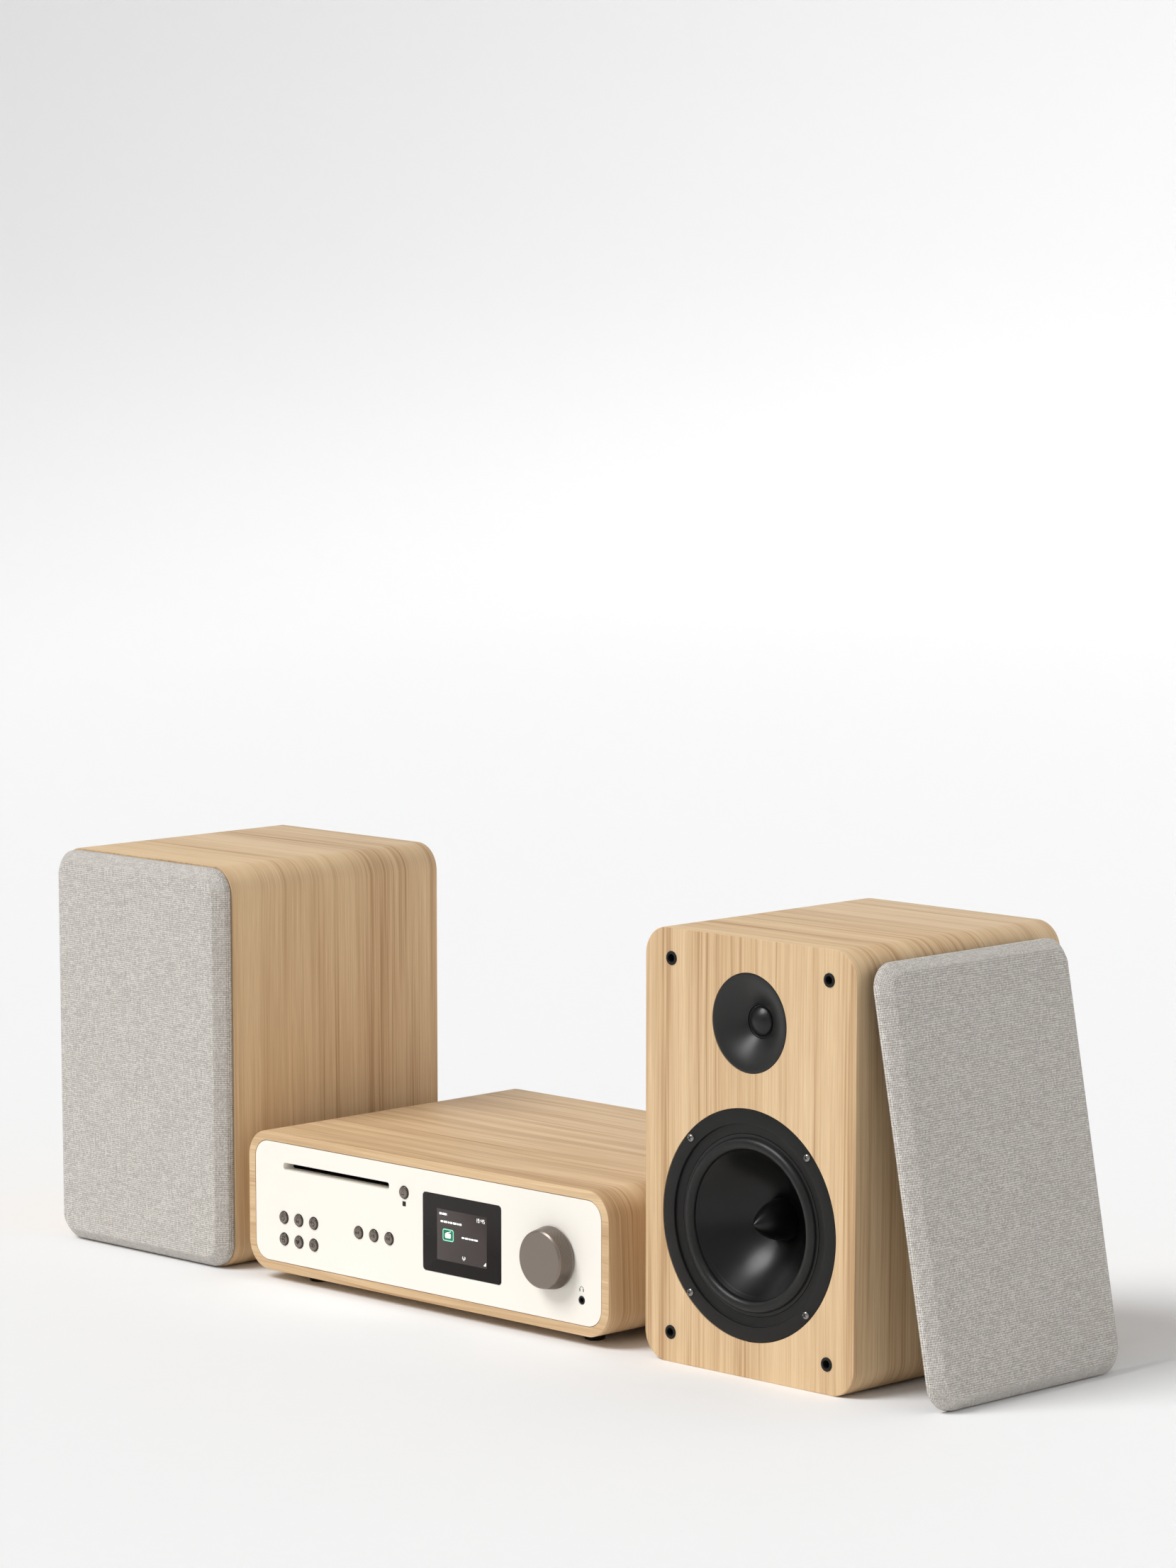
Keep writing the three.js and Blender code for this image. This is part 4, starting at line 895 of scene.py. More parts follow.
def draw_source(s):
    s.line([(-0.4, 1.8), (1.9, 1.8), (1.9, -1.8), (-0.4, -1.8)], 0.5)
    s.line([(-2.1, 0), (0.7, 0)], 0.5)
    s.line([(-0.3, 1.0), (0.8, 0), (-0.3, -1.0)], 0.5)


def draw_heart(s):
    curve = [radians(360 * i / 36) for i in range(36)]
    s.shape([(
        1.95 * sin(t) ** 3,
        1.6 * cos(t) - 0.62 * cos(2 * t) - 0.25 * cos(3 * t) - 0.12 * cos(4 * t) + 0.2,
    ) for t in curve])


def draw_pair(s):
    """Two linked rings: joining a wireless player."""
    s.arc(-0.75, 0, 1.15, 0, 360, 0.45, 24)
    s.arc(0.75, 0, 1.15, 0, 360, 0.45, 24)


def triangle(s, x, width, height):
    s.shape([(x, height), (x + width, 0), (x, -height)])


def draw_previous(s):
    s.line([(-1.9, 1.2), (-1.9, -1.2)], 0.45)
    triangle(s, 0.0, -1.6, 1.3)
    triangle(s, 1.8, -1.6, 1.3)


def draw_play_pause(s):
    triangle(s, -2.0, 1.9, 1.3)
    for x in (0.7, 1.7):
        s.line([(x, 1.05), (x, -1.05)], 0.5)


def draw_next(s):
    s.line([(1.9, 1.2), (1.9, -1.2)], 0.45)
    triangle(s, 0.0, 1.6, 1.3)
    triangle(s, -1.8, 1.6, 1.3)


def draw_eject(s):
    s.shape([(0, 1.6), (1.7, -0.3), (-1.7, -0.3)])
    s.line([(-1.4, -1.3), (1.4, -1.3)], 0.6)


DRAWINGS = {
    "standby": draw_standby, "home": draw_home, "back": draw_back, "source": draw_source,
    "favourite": draw_heart, "pair": draw_pair, "previous": draw_previous,
    "play_pause": draw_play_pause, "next": draw_next, "eject": draw_eject,
}


class HIFI_OT_buttons(BuildPart, Operator):
    """Build the ten crowned buttons with their engraved marks"""

    bl_idname = "hifi.buttons"
    bl_label = "Buttons"

    def execute(self, context):
        for node in BUTTONS:
            low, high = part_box(node)
            centre = middle_of(node)
            front, radius, crown, rim = SLEEVE_LOW.y - 1.8 * MM, 4.92 * MM, 0.75 * MM, 0.6 * MM
            dome = (radius**2 + crown**2) / (2 * crown)
            face = dome_steps(dome, radius - rim, 6)
            edge_y = face[-1][1]
            turns = [pi / 2 * i / 4 for i in range(1, 5)]
            edge = [(radius - rim + rim * sin(a), edge_y + rim * (1 - cos(a))) for a in turns]
            depth = high.y - low.y
            lip_and_stem = mm(((4.92, 5.1), (6.3, 5.1), (6.3, 6.1), (2, 6.1)))
            profile = face + edge + lip_and_stem + [(2 * MM, depth), (0, depth)]
            cap = turn(node + "_cap", profile, button_metal(), (centre.x, front, centre.z), 48)
            placed(cap, node, "taupe_metal", node)
            marks = Strokes(Vector((centre.x, front - 0.07 * MM, centre.z)), 1.18 * MM, dome, 0.2 * MM)
            DRAWINGS[node.removeprefix("button_")](marks)
            placed(marks.build(node + "_mark", plain("engraving")), node, "taupe_metal")
        return {"FINISHED"}


class HIFI_OT_volume_knob(BuildPart, Operator):
    """Build the volume knob and dress its shaft"""

    bl_idname = "hifi.volume_knob"
    bl_label = "Volume knob"

    def execute(self, context):
        low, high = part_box("volume_knob")
        centre = middle_of("volume_knob")
        depth = (high.y - low.y) / MM
        steps, rows = 168, 15
        front = [(0, 0), (12, 0), (21.3, 0), (21.5, 0.05), (22.6, 1.15), (22.7, 1.35), (22.75, 1.9)]
        back = [(24.7, depth - 1.0), (24.7, depth - 0.3), (24.4, depth)]
        back += [(3.35, depth), (3.35, 3.3), (0, 3.3)]
        loops = rings(mm(front), steps)
        for row in range(rows):
            share = (row + 1) / (rows + 1)
            y = KNURL_START / MM + (depth - 3.0) * share
            points = circle(0, 0, MM, steps)
            crest = KNURL_RADIUS / MM + KNURL_SPREAD / MM * share
            radius = [crest - KNURL_DEPTH / MM * ((i + row) % 2) for i in range(steps)]
            loops.append([(x * r, y * MM, z * r) for (x, z), r in zip(points, radius)])
        loops += rings(mm(back), steps)
        knob = loft("knob", loops, control_metal((depth - 3.0) * MM), smooth=14)
        knob.location = (centre.x, low.y, centre.z)
        placed(knob, "volume_knob", "taupe_metal", "volume_knob")
        low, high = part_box("volume_shaft")
        run = (high.y - low.y) / MM
        profile = mm(((0, 0), (2.6, 0), (3, 0.4), (3, run - 0.3), (2.7, run), (0, run)))
        shaft = turn("shaft", profile, bright_screw(), (centre.x, low.y, centre.z), 32)
        placed(shaft, "volume_shaft", "bright_metal", "volume_shaft")
        return {"FINISHED"}


DIGIT_STROKES = {"1": "bc", "9": "abcdfg", "4": "bcfg", "5": "acdfg"}
SEGMENTS = {
    "a": ((0, 2), (1, 2)), "b": ((1, 2), (1, 1)), "c": ((1, 1), (1, 0)), "d": ((0, 0), (1, 0)),
    "f": ((0, 1), (0, 2)), "g": ((0, 1), (1, 1)),
}


class HIFI_OT_display(BuildPart, Operator):
    """Build the smoked window and what its lit display shows"""

    bl_idname = "hifi.display"
    bl_label = "Display"

    def execute(self, context):
        low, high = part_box("display_window")
        edge = soft_edge(0.3 * MM)
        depth = high.y - low.y
        profile = [(inset, y) for inset, y in edge] + [(0, depth)]
        centre = middle_of("display_window")
        loops = [at(window_outline()(inset), y) for inset, y in profile]
        loops = [[(x - centre.x, y, z - centre.z) for x, y, z in loop] for loop in loops]
        window = loft("window", loops, smoked_window())
        window.location = (centre.x, low.y, centre.z)
        placed(window, "main_unit", "smoked_acrylic", "display_window")
        self.screen(low.y)
        return {"FINISHED"}

    def screen(self, front):
        """The lit area, measured from its upper left corner as shares of its width and height."""
        corner = unit(223.3, 0, 78.25)
        width, height = 56.4, 41.05
        half_width, half_height = width / 2 * MM, height / 2 * MM
        centre = Vector((corner.x + half_width, front, corner.z - half_height))
        outline = box_outline(centre, half_width, half_height, 0.4 * MM, 3)
        profile = [(0.1 * MM, front - 0.04 * MM), (0, front), (0, front + 0.5 * MM)]
        field = prism("display_field", outline, profile, lit("Display field", paint(52, 43, 41), 0.3))
        placed(field, "main_unit", "display")
        origin = Vector((corner.x, front - 0.08 * MM, corner.z))
        layer = Vector((0, 0.03 * MM, 0))
        white = Strokes(origin, MM)
        self.lettering(white, width, height)
        bright = lit("Display white", paint(240, 240, 238), 1.0)
        x0, x1, z0, z1 = 0.115 * width, 0.335 * width, -0.375 * height, -0.61 * height
        back = Strokes(origin, MM)
        back.shape(rounded((x0, z1), (x1, z0), 1.8, 0, 6))
        icon = Strokes(origin - layer, MM)
        icon.shape(rounded((x0, z1), (x1, z0), 1.8, 0.75, 6))
        radio = Strokes(origin - layer * 2, MM)
        middle_x, middle_z = (x0 + x1) / 2, (z0 + z1) / 2 - 0.5
        radio.shape(rounded((middle_x - 3.4, middle_z - 1.9), (middle_x + 3.0, middle_z + 1.9), 1.0, 0, 4))
        radio.line([(middle_x - 1.6, middle_z + 2.2), (middle_x + 3.0, middle_z + 3.6)], 0.5)
        for strokes, name, material in (
            (white, "display_marks", bright),
            (back, "display_icon_back", lit("Display pale green", paint(126, 206, 172), 0.9)),
            (icon, "display_icon_field", lit("Display green", paint(10, 92, 68), 0.9)),
            (radio, "display_radio", bright),
        ):
            placed(strokes.build(name, material), "main_unit", "display")

    def lettering(self, marks, width, height):
        """A clock, rows of short dashes where words would stand, an aerial and a corner mark."""
        for x0, x1, z, tall in ((0.05, 0.2, 0.085, 2.1), (0.075, 0.5, 0.235, 1.9), (0.5, 0.83, 0.485, 1.6)):
            x, dash = x0 * width, 1
            while x < x1 * width:
                long = 1.5 + 1.3 * (dash % 3)
                end = min(x + long, x1 * width)
                bottom, top = -z * height - tall / 2, -z * height + tall / 2 * 0.6
                marks.shape(rounded((x, bottom), (end, top), 0.35, 0, 3))
                x, dash = end + 0.7, dash + 1
        digit_w, digit_h, gap = 1.25, 1.4, 1.15
        x = 0.785 * width
        base = -0.095 * height - digit_h
        for letter in "19:45":
            if letter == ":":
                for rise in (0.6, 2.0):
                    marks.line([(x, base + rise), (x, base + rise + 0.15)], 0.34)
                x += gap
                continue
            for segment in DIGIT_STROKES[letter]:
                ends = [(x + u * digit_w, base + v * digit_h) for u, v in SEGMENTS[segment]]
                marks.line(ends, 0.3)
            x += digit_w + gap
        aerial_x, aerial_z = 0.54 * width, -0.895 * height
        marks.line([(aerial_x, aerial_z - 1.3), (aerial_x, aerial_z + 0.5)], 0.55)
        for start, end in ((-50, 50), (130, 230)):
            marks.arc(aerial_x, aerial_z + 0.6, 1.5, start, end, 0.5, 8)
        corner_x, corner_z = 0.985 * width, -0.955 * height
        marks.shape([(corner_x, corner_z), (corner_x, corner_z + 2.8), (corner_x - 2.8, corner_z)])


class HIFI_OT_feet(BuildPart, Operator):
    """Build the four rubber feet"""

    bl_idname = "hifi.feet"
    bl_label = "Feet"

    def execute(self, context):
        for node in [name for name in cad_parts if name.startswith("foot_")]:
            low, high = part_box(node)
            centre = middle_of(node)
            tall = (high.z - low.z) / MM
            profile = [(0, 0.15), (5.6, 0.15), (6.1, 0), (6.9, 0.1), (7.5, 0.5), (8.0, 1.2), (8.3, 2.4)]
            profile += [(8.6, tall - 1.2), (8.6, tall - 0.3), (8.3, tall), (0, tall)]
            loops = [
                [(x, y, low.z + z) for x, y in (circle(centre.x, centre.y, r) if r else [centre.xy])]
                for r, z in mm(profile)
            ]
            placed(loft(node + "_pad", loops, plain("foot_rubber")), "main_unit", "rubber", node)
        return {"FINISHED"}


# A pan head's outline as shares of its radius and of how proud it stands
SCREW_HEAD = (
    (0, 0.6), (0.2, 0.6), (0.24, 0.98), (0.5, 0.93), (0.75, 0.76), (0.92, 0.46),
    (1.0, 0.1), (1.0, -0.4), (0, -0.4),
)


def screw_head(name, centre, radius, proud, material, outwards=-1, turned=30):
    """A pan head on a face that looks along Y, its cross recess laid on as a thin dark cross of painted
    shade; outwards is the way it looks.
    """
    profile = [(r * radius, outwards * y * proud) for r, y in SCREW_HEAD]
    piece = turn(name, profile, material, centre, 32)
    cross = bmesh.new()
    cross.from_mesh(piece.data)
    # The cross recess is not cut: a thin dark cross sits on the head as painted shade.
    for angle in (turned, turned + 90):
        rotation = Matrix.Rotation(radians(angle), 4, "Y")
        long, wide = radius * 0.56, radius * 0.13
        ends = [(-long, -wide), (long, -wide), (long, wide), (-long, wide)]
        rows = [[cross.verts.new(rotation @ Vector((x, outwards * y * proud, z))) for x, z in ends]
                for y in (0.97, 1.015)]
        bridge(cross, rows)
        for row in rows:
            cross.faces.new(row)
    bmesh.ops.recalc_face_normals(cross, faces=cross.faces)
    cross.to_mesh(piece.data)
    cross.free()
    # The cross's faces take the dark finish: painted shade in the recess.
    piece.data.materials.append(plain("engraving"))
    for polygon in piece.data.polygons[-12:]:
        polygon.material_index = 1
    return piece


class HIFI_OT_rear(BuildPart, Operator):
    """Build the rear sockets, the speaker terminals and the rear panel's screws"""

    bl_idname = "hifi.rear"
    bl_label = "Rear sockets"

    def execute(self, context):
        self.mains_inlet()
        self.aerial()
        self.terminals()
        self.rear_screws()
        return {"FINISHED"}

    def mains_inlet(self):
        low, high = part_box("mains_inlet")
        centre = middle_of("mains_inlet")
        outline = box_outline(centre, 10.5 * MM, 7 * MM, 5 * MM, 8)
        flange, wall = -3.5 * MM, 2 * MM
        face = high.y - 1.6 * MM
        profile = [(0, low.y), (0, face), (flange, face), (flange, high.y - 0.5 * MM)]
        profile += [(flange + 0.5 * MM, high.y), (wall - 0.4 * MM, high.y)]
        profile += [(wall, high.y - 0.4 * MM), (wall, low.y + wall)]
        shell = prism("inlet_shell", outline, profile, plain("satin_black"))
        placed(shell, "main_unit", "black_plastic", "mains_inlet")
        for side, name in ((-1, "left"), (1, "right")):
            pin = mm(((0, 1.6), (1.2, 1.6), (1.2, 10), (1.0, 10.6), (0.6, 10.9), (0, 11.0)))
            foot = (centre.x + side * 4.3 * MM, low.y, centre.z)
            piece = turn(f"inlet_pin_{name}", pin, bright_screw(), foot, 24)
            placed(piece, "main_unit", "bright_metal")

    def aerial(self):
        low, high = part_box("aerial_socket")
        centre = middle_of("aerial_socket")
        run = (high.y - low.y) / MM
        face = run - 10
        profile = [(0, 0), (4.4, 0), (4.75, 0.4), (4.75, face + 2.6)]
        ridges, ridged_run = 8, 6.6
        for i in range(ridges):
            y = face + 2.8 + i * ridged_run / ridges
            profile += [(4.75, y), (4.45, y + 0.4)]
        profile += [(4.75, run - 0.4), (4.4, run), (1.9, run), (1.6, run - 0.3)]
        profile += [(1.6, face + 1), (0, face + 1)]
        foot = (centre.x, low.y, centre.z)
        tube = turn("aerial_tube", mm(profile), bright_screw(), foot, 40)
        placed(tube, "main_unit", "bright_metal", "aerial_socket")
        sides, top = 6, face + 2.5
        profile = mm(((7.5, face), (7.5, top - 0.3), (7.0, top), (4.6, top), (4.6, face)))
        nut = turn("aerial_nut", profile, bright_screw(), foot, sides, wrap=True)
        placed(nut, "main_unit", "bright_metal")

    def terminals(self):
        low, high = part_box("speaker_terminals")
        post_reach, thickness, corner = 14.5 * MM, 2.5 * MM, 4 * MM
        face = high.y - post_reach
        back = face - thickness
        outline = rectangle((low.x, low.z), (high.x, high.z), corner, 6)
        profile = [(0, back), (0, face - 0.6 * MM), (0.6 * MM, face)]
        plate = prism("terminal_plate", outline, profile, plain("satin_black"))
        placed(plate, "main_unit", "black_plastic", "speaker_terminals")
        centre = middle_of("speaker_terminals")
        half_across, half_up, tail = 32, 12, 8.8
        for column, dx in (("left", -half_across), ("right", half_across)):
            for row, dz, tone in (("upper", half_up, "red_cap"), ("lower", -half_up, "satin_black")):
                where = Vector((centre.x + dx * MM, face, centre.z + dz * MM))
                binding_post(f"terminal_{row}_{column}", where, plain(tone), "main_unit", tail)

    def rear_screws(self):
        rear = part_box("chassis")[1].y
        bottom, top, left, middle, right = 24, 91, 24, 207, 390
        places = ((left, bottom), (right, bottom), (left, top), (right, top))
        places += ((middle, bottom), (middle, top))
        for number, (x, z) in enumerate(places, 1):
            place = unit(x, 0, z)
            head = (f"rear_screw_{number}", (place.x, rear, place.z), 3.2 * MM, 1.2 * MM)
            placed(screw_head(*head, bright_screw(), 1), "main_unit", "black_steel")


def binding_post(name, face, cap, body, tail):
    """A screw terminal: collar, neck and a ribbed grip with a socket in its end. face is its foot."""
    stem = [(0, -tail), (3.6, -tail), (4, -tail + 0.4), (4, 0), (4, 2.9), (0, 2.9)]
    metal = turn(name + "_stem", mm(stem), bright_screw(), face, 32)
    placed(metal, body, "bright_metal")
    ribs = 18
    loops = []
    for inset, depth in ((0.5, 3.0), (0, 3.5), (0, 13.6), (0.7, 14.5), (3.2, 14.5), (3.2, 9)):
        points = circle(0, 0, MM, 2 * ribs)
        radii = [5.6 - inset - 0.35 * (i % 2) for i in range(2 * ribs)]
        loops.append([(x * r, depth * MM, z * r) for (x, z), r in zip(points, radii)])
    grip = loft(name + "_grip", loops, cap)
    grip.location = face
    placed(grip, body, "black_plastic")


class HIFI_OT_insides(BuildPart, Operator):
    """Finish the pieces inside the main unit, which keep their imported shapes"""

    bl_idname = "hifi.insides"
    bl_label = "Insides"

    def execute(self, context):
        finishes = {
            "display_module": "matt_black", "front_board": "board_green", "main_board": "board_green",
            "power_supply": "board_green", "disc_drive": "satin_black", "disc_turntable": "satin_black",
            "chassis": "powder_coat",
        }
        for node, key in finishes.items():
            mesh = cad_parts[node].data
            mesh.materials.clear()
            mesh.materials.append(plain(key))
        return {"FINISHED"}


# ------------------------------------------------------------------ operators: speakers


# A speaker's board thicknesses, the radii of its holes and the size of its terminal cup
BAFFLE, SPEAKER_WALL, VENEER = 18 * MM, 12 * MM, 0.6 * MM
WOOFER_HOLE, TWEETER_HOLE, SOCKET_HOLE = 88.55 * MM, 37.85 * MM, 5.2 * MM
CUP_HALF_WIDTH, CUP_HALF_HEIGHT, CUP_DEPTH, CUP_CORNER = 35 * MM, 24 * MM, 20 * MM, 6 * MM


def speaker_origin(side):
    """The lower left front corner of a speaker."""
    low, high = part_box(f"{side}_baffle")
    return Vector((low.x, low.y, 0.0)), high.x - low.x, high.z


class HIFI_OT_speaker_cases(BuildPart, Operator):
    """Build each speaker's veneered wrap, baffle and back"""

    bl_idname = "hifi.speaker_cases"
    bl_label = "Speaker cases"

    def execute(self, context):
        radius = context.scene.hifi_sizes.speaker_radius
        for number, side in enumerate(SIDES):
            origin, width, height = speaker_origin(side)
            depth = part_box(f"{side}_speaker_cabinet")[1].y - origin.y
            low, high = (origin.x, 0.0), (origin.x + width, height)
            outline = rectangle(low, high, radius, CORNER_STEPS)
            grain = wrapped_grain(low, high, radius, "along", 0.9 + 0.57 * number)
            front_end = BAFFLE + 0.3 * MM
            profile = [(VENEER, 0.06 * MM), (0.34 * MM, 0.06 * MM), (0.12 * MM, 0.2 * MM), (0, 0.55 * MM)]
            profile += [(0, depth - 0.8 * MM), (0.24 * MM, depth - 0.24 * MM), (0.8 * MM, depth)]
            profile += [(SPEAKER_WALL, depth), (SPEAKER_WALL, front_end), (VENEER, front_end)]
            profile = [(inset, origin.y + y) for inset, y in profile]
            wrap = prism(f"{side}_wrap", outline, profile, veneer(), wrap=True)
            placed(map_uv(wrap, "grain", grain), f"{side}_speaker", "veneer", f"{side}_speaker_cabinet")
            self.baffle(side, origin, outline, grain)
            self.back(side, origin, outline, grain, depth)
        return {"FINISHED"}

    def baffle(self, side, origin, outline, grain):
        woofer, tweeter = middle_of(f"{side}_woofer_frame"), middle_of(f"{side}_tweeter_horn")
        holes = [
            lambda inset: circle(woofer.x, woofer.z, WOOFER_HOLE - inset, 128),
            lambda inset: circle(tweeter.x, tweeter.z, TWEETER_HOLE - inset, 96),
        ]
        for place in SOCKET_PLACES:
            holes.append(hole_round(f"{side}_socket_{place}", SOCKET_HOLE))
        outer = lambda inset: outline(VENEER + inset)
        span = (origin.y, origin.y + BAFFLE)
        front = holed_plate(f"{side}_front", outer, holes, *span, veneer(), 0.12 * MM)
        placed(map_uv(front, "grain", grain), f"{side}_speaker", "veneer", f"{side}_baffle")

    def back(self, side, origin, outline, grain, depth):
        cup = middle_of(f"{side}_terminal_cup")
        gap = 0.3 * MM
        hole = box_outline(cup, CUP_HALF_WIDTH + gap, CUP_HALF_HEIGHT + gap, CUP_CORNER, 6)
        outer = lambda inset: outline(SPEAKER_WALL + inset + 0.05 * MM)
        end = origin.y + depth
        span = (end - 0.1 * MM, end - SPEAKER_WALL)
        panel = holed_plate(f"{side}_back", outer, [hole], *span, veneer(), -0.2 * MM)
        placed(map_uv(panel, "grain", grain), f"{side}_speaker", "veneer")


SOCKET_PLACES = ("upper_left", "upper_right", "lower_left", "lower_right")


def driver_place(side, node):
    centre = middle_of(f"{side}_{node}")
    return Vector((centre.x, speaker_origin(side)[0].y, centre.z))


# The woofer's frame and magnet: radius, and depth behind the baffle's face, in millimetres
WOOFER_FRAME = (
    (0, 38.3), (16.2, 38.3), (16.2, 60.3), (19.1, 60.3), (19.1, 43.3), (37, 43.3), (65, 12), (65, 3.5),
    (69.2, 3.5), (69.4, 2.8), (69.8, 2.6), (76.2, 2.6), (76.7, 2.4), (76.9, 1.9), (76.9, 0.9),
    (77.1, 0.3), (77.5, 0.05), (78.2, 0), (87.3, 0), (87.9, 0.2), (88.2, 0.7),
    (88.2, 4), (71.5, 4), (67.5, 15.5), (45, 46.8), (45, 71.3), (0, 71.3),
)
WOOFER_SCREW_PITCH = 83.8 * MM


class HIFI_OT_woofers(BuildPart, Operator):
    """Build each woofer: frame, magnet, screws, surround, cone and phase plug"""

    bl_idname = "hifi.woofers"
    bl_label = "Woofers"

    def execute(self, context):
        for side in SIDES:
            centre = driver_place(side, "woofer_frame")
            self.frame_ring(side, centre)
            self.screws(side, centre)
            self.surround(side, centre)
            self.cone(side, centre)
            self.plug(side, centre)
        return {"FINISHED"}

    def frame_ring(self, side, centre):
        piece = turn(f"{side}_woofer_ring", mm(WOOFER_FRAME), plain("driver_frame"), centre, 128)
        placed(piece, f"{side}_speaker", "driver_black", f"{side}_woofer_frame")

    def screws(self, side, centre):
        for number in range(4):
            angle = radians(45 + 90 * number)
            place = centre + Vector((cos(angle), 0, sin(angle))) * WOOFER_SCREW_PITCH
            head = (f"{side}_woofer_screw_{number + 1}", place, 3.2 * MM, 2.0 * MM)
            screw = screw_head(*head, dark_screw(), -1, 15 + 40 * number)
            placed(screw, f"{side}_speaker", "driver_black")

    def surround(self, side, centre):
        """The half roll in sectors, each of which runs from the frame's rim to the cone's."""
        middle, outer, thick, rise = 61.9, 4.6, 0.8, 0.88
        lip_y, lip_t = 3.3, 0.6
        steps = 14
        inner = outer - thick
        turns = [pi * i / steps for i in range(steps + 1)]
        over = [(middle + outer * cos(a), lip_y - lip_t - outer * rise * sin(a)) for a in turns]
        under = [(middle + inner * cos(a), lip_y - inner * rise * sin(a)) for a in turns]
        section = [(69.0, lip_y - lip_t), *over, (57.2, lip_y + 0.6), (54.9, lip_y + 2.3)]
        section += [(54.9, lip_y + 2.9), (57.6, lip_y + 1.1), *reversed(under), (69.0, lip_y)]
        sectors, fine = 24, 5
        for sector in range(sectors):
            angles = [2 * pi * (sector + i / fine) / sectors for i in range(fine + 1)]
            loops = [
                [centre + Vector((r * cos(a), y, r * sin(a))) * MM for r, y in section]
                for a in angles
            ]
            piece = loft(f"{side}_surround_{sector + 1:02d}", loops, plain("roll_rubber"), smooth=50)
            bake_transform(piece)
            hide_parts(f"{side}_woofer_surround")

    def cone(self, side, centre):
        rim_y, neck_y, rim_r, neck_r, bulge = 2.9, 38.0, 57.1, 16.6, 5
        steps = 24
        shares = [i / steps for i in range(steps + 1)]
        face = [
            (rim_r + (neck_r - rim_r) * t, rim_y + (neck_y - rim_y) * t + bulge * sin(pi * t))
            for t in shares
        ]
        back = [(r + 0.9, y + 1.3) for r, y in reversed(face[1:])]
        profile = [*face, (16.6, 52), (17.5, 52), *back, (rim_r, rim_y + 0.5)]
        piece = turn(f"{side}_cone", mm(profile), plain("cone_black"), centre, 128, wrap=True)
        placed(piece, f"{side}_woofer_cone", "cone_black", f"{side}_woofer_cone")

    def plug(self, side, centre):
        radius, tip, base, steps = 16.05, 6.0, 38.0, 20
        shares = [(i / steps) ** 1.6 for i in range(steps + 1)]
        curve = [(radius * sin(pi / 2 * t) ** 0.8, tip + (base - tip) * t) for t in shares]
        profile = mm([*curve, (0, base)])
        piece = turn(f"{side}_plug", profile, plain("cone_black"), centre, 64)
        placed(piece, f"{side}_speaker", "cone_black", f"{side}_phase_plug")


class HIFI_OT_tweeters(BuildPart, Operator):
    """Build each tweeter's horn and dome"""

    bl_idname = "hifi.tweeters"
    bl_label = "Tweeters"

    def execute(self, context):
        for side in SIDES:
            centre = driver_place(side, "tweeter_horn")
            throat_r, mouth_r, throat_y, steps = 12.8, 36.3, 12.2, 16
            shares = [i / steps for i in range(1, steps + 1)]
            profile = [(0, 14.8), (throat_r, 14.8), (throat_r, throat_y + 0.3)]
            profile += [(throat_r + (mouth_r - throat_r) * t, throat_y * (1 - t) ** 1.5) for t in shares]
            profile += [(36.9, 0.0), (37.3, 0.15), (37.5, 0.5), (37.5, 3)]
            profile += [(32, 3), (32, 17), (24, 17), (24, 34), (0, 34)]
            horn = turn(f"{side}_horn", mm(profile), plain("horn_black"), centre, 128)
            placed(horn, f"{side}_speaker", "horn_black", f"{side}_tweeter_horn")
            radius, rise, skirt_r, skirt_y = 11.3, 4.6, 12.45, 12.55
            sphere = (radius**2 + rise**2) / (2 * rise)
            face = [(r, skirt_y - rise + y) for r, y in dome_steps(sphere, radius, 12)]
            skirt = ((11.45, 0.5), (11.6, 0.8), (12.2, 0.8), (12.4, 0.6))
            skirt += ((skirt_r, 0.5), (skirt_r, 1), (0, 1))
            profile = [*face, *((r, skirt_y + y) for r, y in skirt)]
            dome = turn(f"{side}_dome", mm(profile), plain("dome_silk"), centre, 64, smooth=60)
            placed(dome, f"{side}_tweeter_dome", "silk", f"{side}_tweeter_dome")
        return {"FINISHED"}


class HIFI_OT_grille_sockets(BuildPart, Operator):
    """Build the rubber cups that take the grilles' pegs"""

    bl_idname = "hifi.grille_sockets"
    bl_label = "Grille sockets"

    def execute(self, context):
        profile = [(3.1, 13), (3.1, 0.6), (3.2, -0.6), (3.5, -0.95), (4.6, -0.93), (5.3, -0.5), (5.4, 0.0)]
        profile += [(5.1, 0.2), (5.0, 15), (0, 15), (0, 13)]
        for side in SIDES:
            for place in SOCKET_PLACES:
                node = f"{side}_socket_{place}"
                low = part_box(node)[0]
                centre = middle_of(node)
                loops = [(r * MM, y * MM) for r, y in profile[:-2]]
                piece = turn(node + "_cup", [(0, 13 * MM), *loops, (0, 15 * MM)], plain("foot_rubber"),
                             (centre.x, low.y, centre.z), 40)
                placed(piece, f"{side}_speaker", "rubber", node)
        return {"FINISHED"}


